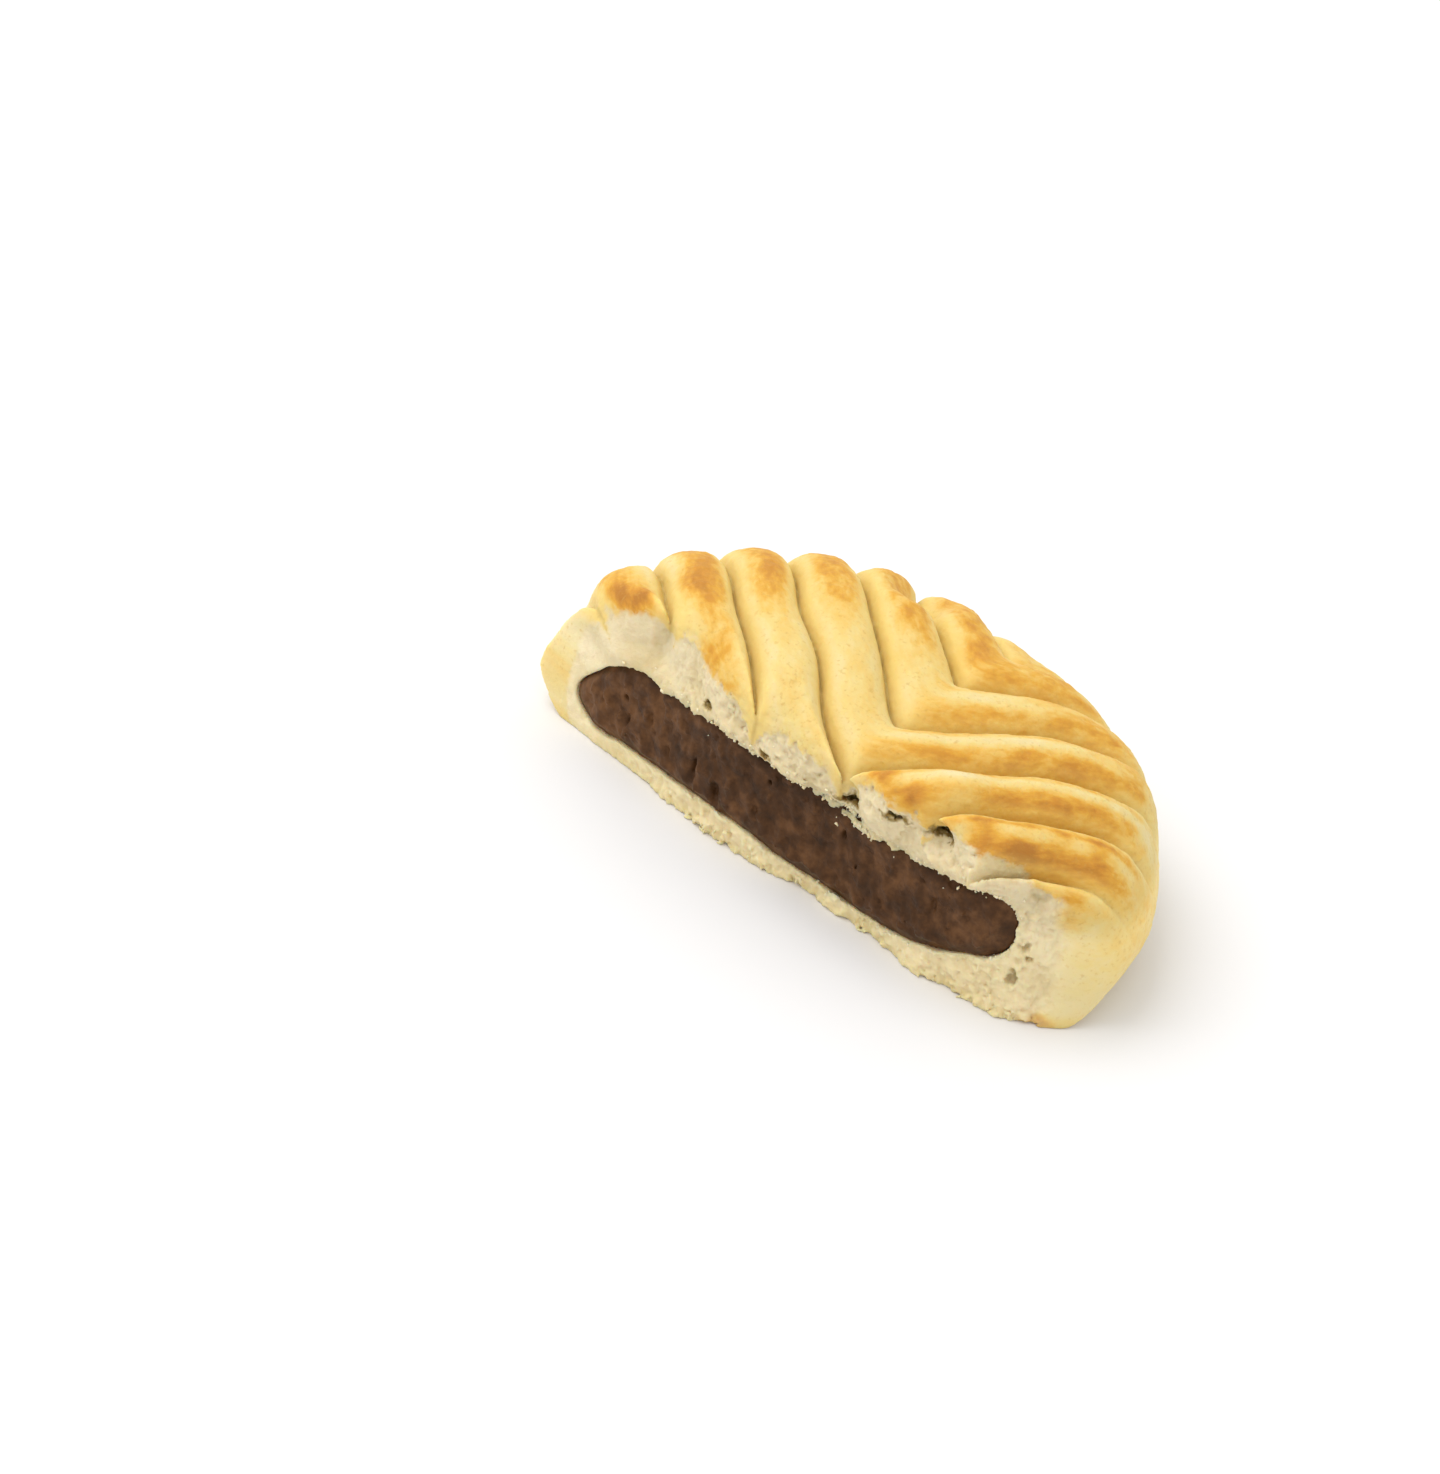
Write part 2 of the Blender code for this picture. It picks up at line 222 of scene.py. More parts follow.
def softWaves(tree, place, wavelength, salt):
    # soft waves in seeded directions, added up: about -1 to 1
    draw = np.random.default_rng(waves["seed"] + salt)
    total = None
    for _ in range(waves["count"]):
        direction = draw.normal(size=3)
        direction /= np.linalg.norm(direction)
        turn = direction * 2 * math.pi / (wavelength * draw.uniform(waves["shortest"],
                                                                    waves["longest"]))
        turned = addNode(tree, vec, [place, tuple(turn)], operation="DOT_PRODUCT").outputs["Value"]
        shifted = addNode(tree, calc, [turned, draw.uniform(0, 2 * math.pi)], operation="ADD")
        wave = addNode(tree, calc, [shifted], operation="SINE")
        total = addNode(tree, calc, [wave, total or 0.0], operation="ADD")
    return addNode(tree, calc, [total, waves["calm"]], operation="DIVIDE").outputs[0]


def lineThrough(tree, points, place):
    # the smooth curve through points in mm, read at place
    xs, ys = zip(*points)
    low, high = min(ys) - 1, max(ys) + 1
    share = addNode(tree, span, [place, xs[0], xs[-1], 0.0, 1.0])
    dots = [((x - xs[0]) / (xs[-1] - xs[0]), (y - low) / (high - low)) for x, y in points]
    curve = addNode(tree, "ShaderNodeFloatCurve", [1.0, share], curve=dots)
    return addNode(tree, span, [curve, 0.0, 1.0, low, high]).outputs[0]


# The round before it was broken, in mm: what the dough and the paste share

roundShape = {
    "radius": 32.0,
    "depthShare": 0.905,       # front to back over side to side
    "centre": 2.85,            # of the round, behind the break
    "height": 19.0,
    "widestAt": 5.9,
    "footShare": 0.89,         # the foot's width over the widest
    "trim": 0.5,               # the wall's curve ends this far below the base
    "shoulder": 5.6,           # the higher, the squarer
    "pasteRadius": 26.0,
    "pasteSide": 2.3,          # how far left of the round's middle the paste lies
}
slabRim, slabSection = 5.0, 2.5    # powers of the slab's outline from above and in section
leastShare = 0.02                  # keeps a divisor or a power off zero
leastSize = 0.25
leastSlope = 0.012
leastPasteSlope = 0.03
deepestInside = -9.0

# lines along the break: x, and how far back the break stands there
breakLine = [(-33, 2.2), (-26, 1.4), (-20, 0.9), (-14, 0.0), (-8, -0.75), (-3, -0.4), (3, 0.2),
             (9, -0.2), (15, -0.5), (20, -0.2), (23.5, 0.8), (27, 3.1), (31, 6.6), (36, 12.0)]
# x, and the height of the paste's middle, then half the paste's height
pasteMiddle = [(-28, 4.3), (-26, 4.85), (-24, 5.85), (-21, 6.8), (-16, 7.2), (-12, 7.85),
               (-10, 8.15), (-6, 7.9), (-2, 7.5), (1, 7.1), (5, 6.85), (9, 7.05), (13, 7.3),
               (16, 8.0), (18, 8.5), (20, 9.1), (22, 9.3), (26, 9.4)]
pasteHalf = [(-28, 3.3), (-26, 4.4), (-24, 5.1), (-21, 5.2), (-16, 4.8), (-12, 4.95), (-10, 5.1),
             (-6, 4.85), (-2, 5.3), (5, 5.05), (9, 5.1), (13, 4.95), (16, 5.0), (18, 5.1),
             (20, 5.35), (22, 5.8), (26, 5.8)]

middleOfBase = (0.92, -14.3, 0.0)      # of the frame, from the middle of the break, in mm


def addEnvelope(tree, made):
    # distance outside the round's crests, and the nearest place on them
    place = addNode(tree, "GeometryNodeInputPosition")
    parts = addNode(tree, "ShaderNodeSeparateXYZ", [place])
    made.update(place=place.outputs[0], x=parts.outputs[0], y=parts.outputs[1], z=parts.outputs[2])
    addSteps(tree, made, [
        ("upright", "MULTIPLY", "place", (1.0, 0.0, 1.0)),
        ("fromCentre", "SUBTRACT", "y", "centre"),
        ("deepY", "DIVIDE", "fromCentre", "depthShare"),
        ("xx", "MULTIPLY", "x", "x"),
        ("yy", "MULTIPLY", "deepY", "deepY"),
        ("rr", "ADD", "xx", "yy"),
        ("r", "SQRT", "rr"),
        # the wall draws in towards the foot
        ("belowTrim", "MULTIPLY", "trim", -1.0),
        ("down", "LINEAR", "z", "widestAt", "belowTrim", 0.0, 1.0),
        ("down2", "MULTIPLY", "down", "down"),
        ("up2", "SUBTRACT", 1.0, "down2"),
        ("wall", "SQRT", "up2"),
        ("narrow", "LINEAR", "wall", 0.0, 1.0, "footShare", 1.0),
        ("here", "MULTIPLY", "radius", "narrow"),
        ("share", "DIVIDE", "r", "here"),
        ("shareKept", "MAXIMUM", "share", leastShare),
        ("topHeight", "SUBTRACT", "height", "widestAt"),
        ("above", "SUBTRACT", "z", "widestAt"),
        ("risen", "DIVIDE", "above", "topHeight"),
        ("rise", "MAXIMUM", "risen", 0.0),
        ("rise2", "MULTIPLY", "rise", "rise"),
        ("out", "POWER", "shareKept", "shoulder"),
        ("both", "ADD", "out", "rise2"),
        ("size", "SQRT", "both"),
        ("sizeKept", "MAXIMUM", "size", leastSize),
        ("beyond", "SUBTRACT", "size", 1.0),
        # its slope, in x, y and z
        ("powerLess", "SUBTRACT", "shoulder", 2.0),
        ("outLess", "POWER", "shareKept", "powerLess"),
        ("half", "MULTIPLY", "shoulder", 0.5),
        ("outSlope", "MULTIPLY", "outLess", "half"),
        ("here2", "MULTIPLY", "here", "here"),
        ("overHere", "DIVIDE", "outSlope", "here2"),
        ("perMm", "DIVIDE", "overHere", "sizeKept"),
        ("slopeX", "MULTIPLY", "perMm", "x"),
        ("deepY2", "DIVIDE", "deepY", "depthShare"),
        ("slopeY", "MULTIPLY", "perMm", "deepY2"),
        ("riseSlope", "DIVIDE", "rise", "topHeight"),
        ("slopeZ", "DIVIDE", "riseSlope", "sizeKept"),
    ])
    slope = addNode(tree, "ShaderNodeCombineXYZ", [made["slopeX"], made["slopeY"], made["slopeZ"]])
    made["slope"] = slope.outputs[0]
    addSteps(tree, made, [
        ("steep", "LENGTH", "slope"),
        ("steepKept", "MAXIMUM", "steep", leastSlope),
        ("away", "DIVIDE", "beyond", "steepKept"),
        ("crestDistance", "MAXIMUM", "away", deepestInside),
        ("outward", "NORMALIZE", "slope"),
        ("step", "SCALE", "outward", None, None, "crestDistance"),
        ("onCrest", "SUBTRACT", "place", "step"),
    ])


def addPasteForm(tree, made):
    # distance outside the slab of paste, before it was broken
    addSteps(tree, made, [
        ("middle", pasteMiddle, "x"),
        ("halfHigh", pasteHalf, "x"),
        ("pasteX", "ADD", "x", "pasteSide"),
        ("pasteX2", "MULTIPLY", "pasteX", "pasteX"),
        ("pasteR2", "ADD", "pasteX2", "yy"),
        ("pasteR", "SQRT", "pasteR2"),
        ("pasteShare", "DIVIDE", "pasteR", "pasteRadius"),
        ("pasteKept", "MAXIMUM", "pasteShare", leastShare),
        ("fromMiddle", "SUBTRACT", "z", "middle"),
        ("pasteRise", "DIVIDE", "fromMiddle", "halfHigh"),
        ("pasteUp", "ABSOLUTE", "pasteRise"),
        ("pasteUpKept", "MAXIMUM", "pasteUp", leastShare),
        ("rimPower", "POWER", "pasteKept", slabRim),
        ("upPower", "POWER", "pasteUpKept", slabSection),
        ("pasteBoth", "ADD", "rimPower", "upPower"),
        ("pasteSize", "POWER", "pasteBoth", 1 / slabSection),
        ("pasteBeyond", "SUBTRACT", "pasteSize", 1.0),
        # its slope
        ("rimLess", "POWER", "pasteKept", slabRim - 1),
        ("rimPerMm", "DIVIDE", "rimLess", "pasteRadius"),
        ("rimSlope", "MULTIPLY", "rimPerMm", slabRim),
        ("upLess", "POWER", "pasteUpKept", slabSection - 1),
        ("upPerMm", "DIVIDE", "upLess", "halfHigh"),
        ("upSlope", "MULTIPLY", "upPerMm", slabSection),
        ("rimSlope2", "MULTIPLY", "rimSlope", "rimSlope"),
        ("slopeP2", "MULTIPLY_ADD", "upSlope", "upSlope", "rimSlope2"),
        ("slopeP", "SQRT", "slopeP2"),
        ("bothLess", "POWER", "pasteBoth", 1 / slabSection - 1),
        ("bothShare", "MULTIPLY", "bothLess", 1 / slabSection),
        ("slopeAll", "MULTIPLY", "slopeP", "bothShare"),
        ("slopeAllKept", "MAXIMUM", "slopeAll", leastPasteSlope),
        ("pasteDistance", "DIVIDE", "pasteBeyond", "slopeAllKept"),
    ])


def finishTree(tree, solid, piece, material, marks):
    # the solid's surface, with its marks for the material, in metres and in the frame's place
    low, high = piece["low"], piece["high"]
    inside = addNode(tree, span, [solid, -0.5, 0.5, 1.0, 0.0])
    cells = [round((b - a) / piece["voxel"]) + 1 for a, b in zip(low, high)]
    cube = addNode(tree, "GeometryNodeVolumeCube", {
        "Density": inside, "Background": 0.0, "Min": low, "Max": high,
        "Resolution X": cells[0], "Resolution Y": cells[1], "Resolution Z": cells[2]})
    shape = addNode(tree, "GeometryNodeVolumeToMesh", {"Volume": cube, "Threshold": 0.5})
    for name, value in marks:
        shape = addNode(tree, "GeometryNodeStoreNamedAttribute",
                        {"Geometry": shape, "Name": name, "Value": value},
                        data_type="FLOAT", domain="POINT")
    moved = addNode(tree, "GeometryNodeTransform", {
        "Geometry": shape, "Translation": [mm * v for v in middleOfBase], "Scale": (mm, mm, mm)})
    real = addNode(tree, "GeometryNodeRealizeInstances", [moved])
    finished = addNode(tree, "GeometryNodeSetMaterial", {"Geometry": real, "Material": material})
    addNode(tree, "NodeGroupOutput", [finished])


def newMaterial(name):
    material = bpy.data.materials.new(name)
    material.use_nodes = True
    material.node_tree.nodes.clear()
    return material


# Baked shortbread: a fine dry crust, oven-browned on its crests, and a pale sandy crumb
# where it was broken. Matt, and a little translucent at thin edges.

doughFinish = {
    "crust": [(0.0, "#f2e3b2"), (0.2, "#f2da90"), (0.4, "#f2ca6e"), (0.6, "#e8ad3e"),
              (0.8, "#d4902e"), (1.0, "#b97626")],
    "crumb": [(0.0, "#f0dda8"), (0.15, "#f6e8c2"), (0.5, "#f5e6c0"), (1.0, "#ecdbae")],
    "crumbDepth": 8.0,         # mm under the crust, over which the crumb's colours run
    "looseCrumb": [(0.0, "#e9dab4"), (0.9, "#eddfba"), (1.0, "#dcc79a")],
    # painted light: a bright yellow in the grooves, standing in for the light that fills them
    "groove": "#f8d980",
    "speck": "#cf9f4c",
    "low": "#d8c68e",          # painted shade: the lower wall is darker
    # painted shade: a dark line along the bottom of each groove
    "crease": "#b08a45",
    # painted shade: the crumb darker where it lies further in
    "recess": "#d2b87c",
    # painted shade: the inside of the holes
    "hole": "#846c34",
    "patchScale": 0.6,         # per mm: browned patches about 1.7 mm long
    "mottleScale": 1.9,        # and a finer mottle of about half a mm
    "mottleShare": 0.6,
    "mottleRange": (0.6, 1.0),
    "mottle": 0.18,            # how much lighter or darker it makes the browning
    "paleMottle": 0.12,        # share of it where the crust is pale
    "brownFull": 0.6,          # browning from which all of it shows
    "armStretch": 0.5,         # the mottle is drawn out along the ridges
    "speckScale": 2.4,         # specks of about 0.4 mm
    "speckRange": (0.58, 0.75),
    "speckMost": 0.45,
    "lowShadeRange": (3.0, 13.0),   # mm above the base
    "lowShadeMost": 0.5,
    "creaseShadeMost": 0.5,
    "recessShadeMost": 0.4,
    "roughness": 0.62,
    "looseRoughness": 0.75,
    "ior": 1.45,
    "specular": 0.25,
    "soft": 0.5,               # share of light that travels inside
    "softColour": (1.0, 0.6, 0.3),
    "softReach": 1.4,          # mm
    "looseReach": 0.3,
    "blisterSize": 0.8,        # mm
    "grainSize": 0.35,
    "bump": 0.25,              # mm
    "bumpStrength": 0.6,
}


def doughMaterial():
    look = doughFinish
    material = newMaterial("bakedShortbread")
    tree = material.node_tree
    place = addNode(tree, "ShaderNodeTexCoord").outputs["Object"]
    inMm = addNode(tree, vec, {0: place, 3: perMetre}, operation="SCALE")
    # the groove mark carries painted light; the crease, recess and hole marks carry painted shade
    marks = {name: addNode(tree, "ShaderNodeAttribute", attribute_name=name).outputs["Fac"]
             for name in ("browned", "broken", "under", "crease", "recess", "hole", "groove",
                          "alongArm", "acrossArm")}
    drawnOut = addNode(tree, calc, [marks["alongArm"], look["armStretch"]], operation="MULTIPLY")
    height = addNode(tree, "ShaderNodeSeparateXYZ", [inMm]).outputs["Z"]
    onArm = addNode(tree, "ShaderNodeCombineXYZ", [drawnOut, marks["acrossArm"], height])
    patches = addNode(tree, "ShaderNodeTexNoise", {"Vector": onArm, "Scale": look["patchScale"],
                                                   "Detail": 2.0})
    mottle = addNode(tree, "ShaderNodeTexNoise", {"Vector": onArm, "Scale": look["mottleScale"],
                                                  "Detail": 3.0, "Roughness": 0.6})
    both = addNode(tree, calc, [mottle, look["mottleShare"], patches], operation="MULTIPLY_ADD")
    spread = addNode(tree, span, [both, *look["mottleRange"], -look["mottle"], look["mottle"]])
    spreadHere = addNode(tree, span, [marks["browned"], 0.0, look["brownFull"],
                                      look["paleMottle"], 1.0])
    browned = addNode(tree, calc, [spread, spreadHere, marks["browned"]],
                      operation="MULTIPLY_ADD")
    baked = addNode(tree, "ShaderNodeValToRGB", [browned], stops=look["crust"])
    specks = addNode(tree, "ShaderNodeTexNoise", {"Vector": inMm, "Scale": look["speckScale"],
                                                  "Detail": 2.0})
    speckHere = addNode(tree, span, [specks, *look["speckRange"], 0.0, look["speckMost"]])
    # painted shade: darker down the wall
    lowShadeHere = addNode(tree, span, [height, *look["lowShadeRange"], look["lowShadeMost"], 0.0])
    # painted shade along the creases
    creaseShaded = addNode(tree, calc, [marks["crease"], look["creaseShadeMost"]], operation="MULTIPLY")
    # painted shade in the crumb's recesses
    recessShaded = addNode(tree, calc, [marks["recess"], look["recessShadeMost"]], operation="MULTIPLY")
    depth = addNode(tree, span, [marks["under"], 0.0, look["crumbDepth"], 0.0, 1.0])
    plain = addNode(tree, "ShaderNodeValToRGB", [depth], stops=look["crumb"])
    crumb = addNode(tree, "ShaderNodeMix", {0: recessShaded, 6: plain, 7: linear(look["recess"])},
                    data_type="RGBA").outputs[2]
    # one over the other: how much of it shows, and its colour. The lower wall's, the creases' and
    # the holes' colours are painted shade, and the grooves' colour is painted light
    colour = baked
    for share, over in ((speckHere, linear(look["speck"])), (lowShadeHere, linear(look["low"])),
                        (marks["groove"], linear(look["groove"])),
                        (creaseShaded, linear(look["crease"])), (marks["broken"], crumb),
                        (marks["hole"], linear(look["hole"]))):
        colour = addNode(tree, "ShaderNodeMix", {0: share, 6: colour, 7: over},
                         data_type="RGBA").outputs[2]
    blisters = addNode(tree, "ShaderNodeTexNoise", {
        "Vector": inMm, "Scale": 1 / look["blisterSize"], "Detail": 3.0})
    grains = addNode(tree, "ShaderNodeTexNoise", {
        "Vector": inMm, "Scale": 1 / look["grainSize"], "Detail": 4.0, "Roughness": 0.7})
    rough = addNode(tree, "ShaderNodeMix", {0: marks["broken"], 2: blisters, 3: grains})
    bump = addNode(tree, "ShaderNodeBump", {"Height": rough, "Strength": look["bumpStrength"],
                                            "Distance": look["bump"] * mm})
    shader = addNode(tree, "ShaderNodeBsdfPrincipled", {
        "Base Color": colour, "Roughness": look["roughness"], "IOR": look["ior"],
        "Specular IOR Level": look["specular"], "Subsurface Weight": look["soft"],
        "Subsurface Radius": look["softColour"], "Subsurface Scale": look["softReach"] * mm,
        "Normal": bump})
    addNode(tree, "ShaderNodeOutputMaterial", [shader])
    return material


# The dough: ridges, broken face, crumb and browning. Lengths are in mm.

doughValues = {
    # ridges that the mould pressed: nested chevrons with an arm either side of a seam
    "seamSide": 4.45,
    "seamBlend": 2.0,
    "leftPitch": 6.27,
    "rightPitch": 5.97,
    "firstGroove": 2.1,
    "corner": 0.7,             # how round the chevrons' points are
    "leftDepth": 2.15,
    "rightDepth": 2.3,
    "archPower": 2.6,          # the arch of a ridge
    "archRoot": 0.75,
    "leftCrease": 0.4,         # extra depth of the narrow crease along the bottom of a groove
    "rightCrease": 0.3,
    "creaseFrom": 0.8,         # share of the way from the crest to the groove
    "tornDepth": 1.7,          # grooves are deeper where the break tore them
    "tornFront": 2.5,
    "tornReach": -2.6,
    "wobble": 0.35,
    "swell": 0.3,
    "swellFoot": 4.0,
    "fadeTop": 17.0,           # down the wall the grooves fade, from near this height
    "fadeSoft": 2.0,
    "leftFadeEnd": 6.5,
    "rightFadeEnd": 8.5,
    "leftLoss": 0.31,          # share of their depth that they lose on the shoulder
    "rightLoss": 0.7,
    "lossBelow": 3.0,
    "lossAbove": 1.0,
    "leftRise": 1.1,           # how much higher the left ridges stand
    "riseWithin": -12.0,
    # crumb on the broken face
    "gap": 0.12,               # between the paste and the dough round it
    "grain": 0.42,             # how far the crumb stands in and out
    "coarsePart": 0.6,
    "clumpPart": 0.6,
    "clumpSpan": 0.9,
    "clumpIn": -0.5,
    "clumpOutMost": 0.7,
    "blister": 0.1,            # how far the crust's small blisters stand out
    "crustRough": 0.5,         # how far the browned crust's lower edge wanders
    "crustFade": 0.8,
    "crustCalm": 0.35,         # the broken crust's roughness over the crumb's
    "apronOut": 0.5,           # how far in front of the break crumb hangs over the paste
    "apronFull": 0.6,          # distances from the paste's edge
    "apronGone": 2.6,
    "apronThin": 0.05,
    "ragLength": -2.4,
    "lap": 0.35,               # how far crumb laps over the paste's lower edge
    "lapRags": 1.5,
    "bareDepth": 0.45,         # where the crust came away
    "bareRough": 0.35,
    # browning and other marks for the material
    "breakBlend": 0.15,
    "toastFrom": 0.15,         # browning of the patches that toast the broken edge too
    "toastFull": 0.45,
    # painted shade in the crumb where it lies further in
    "recessFrom": 0.1,
    "recessFull": 1.3,
    # painted shade inside the holes begins this far outside them
    "holeRim": -0.35,
    "flankMiddle": 0.54,       # where a left arm is brownest, from groove to groove
    "flankNear": 0.1,
    "flankFar": 0.58,
    "flankLeast": 0.1,
    "leftGrooveBrown": 0.3,    # browning that is left in the grooves
    "rightGrooveBrown": 0.85,
    # how strong the painted shade along the creases is, on each arm
    "leftCreaseTint": 1.0,
    "rightCreaseTint": 0.35,
    # how strong the painted light in the grooves is, on each arm
    "leftGrooveTint": 0.85,
    "rightGrooveTint": 0.3,
}
doughMesh = {"voxel": 0.21, "low": (-33.7, -3.2, -0.5), "high": (32.2, 32.2, 21.0), "keep": 0.37}
# the values above that differ between the left and right arms, and are blended at the seam
armBlends = ("Pitch", "Depth", "Loss", "FadeEnd", "Crease", "GrooveBrown", "CreaseTint",
             "GrooveTint")
seamTurn = math.radians(3.3)
# soft waves that bend and swell the ridges: length and seed
ridgeWaves = {"waveX": (14.0, 1), "waveY": (14.0, 2), "waveOut": (22.0, 3)}
coarseWave = (5.0, 4)
shake = 2.4                    # how far holes and bare patches are pulled about
# noises that roughen the dough: scale per mm, detail and roughness
doughNoises = {"grains": ("ShaderNodeTexNoise", 1.25, 3.0, 0.8),
               "clumps": ("ShaderNodeTexVoronoi", 0.85, 1.0, 0.6),
               "blisters": ("ShaderNodeTexNoise", 0.8, 2.0, 0.6),
               "rags": ("ShaderNodeTexNoise", 1.1, 2.0, 0.7)}

# gentle changes over the dough: what each follows, where it begins and ends, its values there
doughRamps = {
    "inCrust": ("z", 11.5, 14.0, 0.0, 1.0),          # crustLine takes over
    "endSharp": ("z", 0.0, 5.0, 0.3, 1.0),           # the break's end is sharper low down
    "lipHeight": ("z", 9.0, 14.0, 0.0, 1.0),
    "calmLeft": ("x", -21.0, -14.0, 0.25, 1.0),      # smoother crumb at both ends
    "calmRight": ("x", 26.5, 28.5, 1.0, 0.1),
    "footRough": ("z", 0.5, 3.5, 1.4, 1.0),
    "wallEnd": ("x", 26.0, 28.5, 1.0, 0.0),          # the break turns into the wall
    "toastLow": ("z", 13.0, 14.0, 1.0, 0.0),         # toasted broken edges, not the top
    "foot": ("z", 0.2, 1.8, 0.35, 0.0),              # browned where it lay on the tray
    "holeHigh": ("z", 9.0, 12.0, 0.25, 1.0),         # painted shade in low holes is fainter
    "nearPaste": ("pasteDistance", 0.3, 1.2, 1.0, 0.03),
    "aboveMiddle": ("fromMiddle", 0.5, 2.0, 0.3, 1.0),
    "lessLeft": ("x", -20.0, -8.0, 0.1, 1.0),
    "rearCrest": ("y", 14.5, 20.0, 0.0, 0.8),
    "rimLeft": ("share", 0.3, 0.66, 0.25, 0.68),     # browner towards the rim
    "rimAlong": ("side", 2.0, 16.0, 0.56, 0.76),
    "rearLess": ("y", 8.0, 20.0, 1.0, 0.86),
    "up": ("z", 10.5, 16.0, 0.0, 1.0),
    "rearWall": ("y", 6.0, 20.0, 0.0, 0.24),
    # where the painted shade along the creases lies
    "creaseLine": ("fromCrest", 0.92, 1.0, 0.0, 1.0),
    # where the painted light in the grooves lies
    "grooveWide": ("fromCrest", 0.5, 0.85, 0.0, 1.0),
}

# lines along the break, each x and a length: how far back the crust's edge stands from
# breakLine, how round that edge is, and how round the break's end is against the wall
crustLine = [(-33, 0.4), (-20, 0.8), (-11, -0.5), (-3, -1.7), (3, -2.5), (6, -2.1), (9, -1.8),
             (13, -1.2), (18, -0.8), (23, -0.3), (36, 0.0)]
lipLine = [(-33, 2.4), (-18, 2.6), (-12, 3.6), (-2, 3.4), (3, 2.2), (6, 1.3), (16, 1.3),
           (22, 2.0), (36, 3.0)]
endLine = [(-33, 0.3), (18, 0.3), (23, 1.5), (27, 4.0), (36, 4.0)]
# how deep below the surface the broken edge is still browned crust
crustKept = [(-33, 4.0), (-29.5, 3.6), (-28, 1.6), (-25, 2.1), (-22, 1.8), (-18, 0.9),
             (-12, 2.9), (-2, 2.6), (3, 1.6), (8, 1.1), (14, 1.0), (20, 1.2), (36, 1.5)]
# how far the crumb hangs down over the paste's upper edge
apronLine = [(-33, 0.1), (-24, 0.3), (-18, 0.6), (-8, 0.5), (-2, 0.5), (3, 1.3), (6, 1.6),
             (9, 0.9), (14, 0.6), (22, 0.3), (26, 0.0)]
apronLeast, apronMost = 0.1, 0.5
# browning across a right arm, from the groove in front of it to the one behind. The pale band on
# the crest is a painted highlight, and the narrow browner band just behind it is painted shade
frontFlankBrownAndHighlight = [(0.0, 0.6), (0.08, 0.9), (0.2, 1.0), (0.33, 0.85), (0.44, 0.5), (0.52, 0.24),
              (0.62, 0.24), (0.7, 0.72), (0.78, 0.7), (0.9, 0.35), (1.0, 0.5)]

# mounds and dips of the crests: x, y, how far round and how high
mounds = [(8.5, 2.0, 6.0, 0.6), (14.5, 1.5, 5.5, 1.3), (25.5, 4.5, 6.0, -0.8),
          (-25.0, 5.0, 5.0, -1.1), (-32.0, 2.0, 4.5, -2.4), (-7.5, 24.0, 5.0, -2.2)]
# bulges and hollows of the wall: x, y, z, how far round, how far out
bulges = [(-31.5, 2.0, 3.8, 5.0, 1.2), (28.0, 9.0, 0.5, 8.5, -1.3), (19.5, 22.5, 13.0, 8.0, 0.8),
          (3.5, 26.0, 15.0, 4.5, -0.8)]
# noses and hollows of the broken face: x, z, half width, half height, how far forward
noses = [(-24.0, 13.0, 4.5, 5.5, 1.1), (-19.6, 15.5, 1.6, 4.0, -0.8), (-14.5, 14.5, 3.6, 3.5, 0.5),
         (5.4, 14.6, 2.0, 2.6, -1.3), (9.6, 16.0, 3.6, 4.2, 1.0), (15.2, 16.0, 2.2, 2.3, -1.8),
         (20.0, 14.8, 4.2, 4.6, 1.1), (24.6, 13.6, 1.8, 2.2, -1.2), (26.5, 0.0, 6.5, 3.6, 1.1)]
# dark holes torn in the broken face: x, y, z and half sizes
holes = [(15.0, 0.6, 15.8, 1.2, 2.6, 0.4), (10.9, -1.2, 16.1, 0.9, 2.2, 0.22),
         (5.2, -0.6, 13.7, 1.1, 2.2, 0.42), (24.7, 1.2, 8.2, 0.35, 1.0, 0.6),
         (25.2, 1.4, 6.9, 0.35, 0.9, 0.4), (24.2, 0.9, 4.4, 0.5, 1.2, 0.9),
         (-11.8, -0.9, 14.0, 0.5, 0.9, 0.3), (-4.0, -2.0, 13.6, 0.6, 0.9, 0.3)]
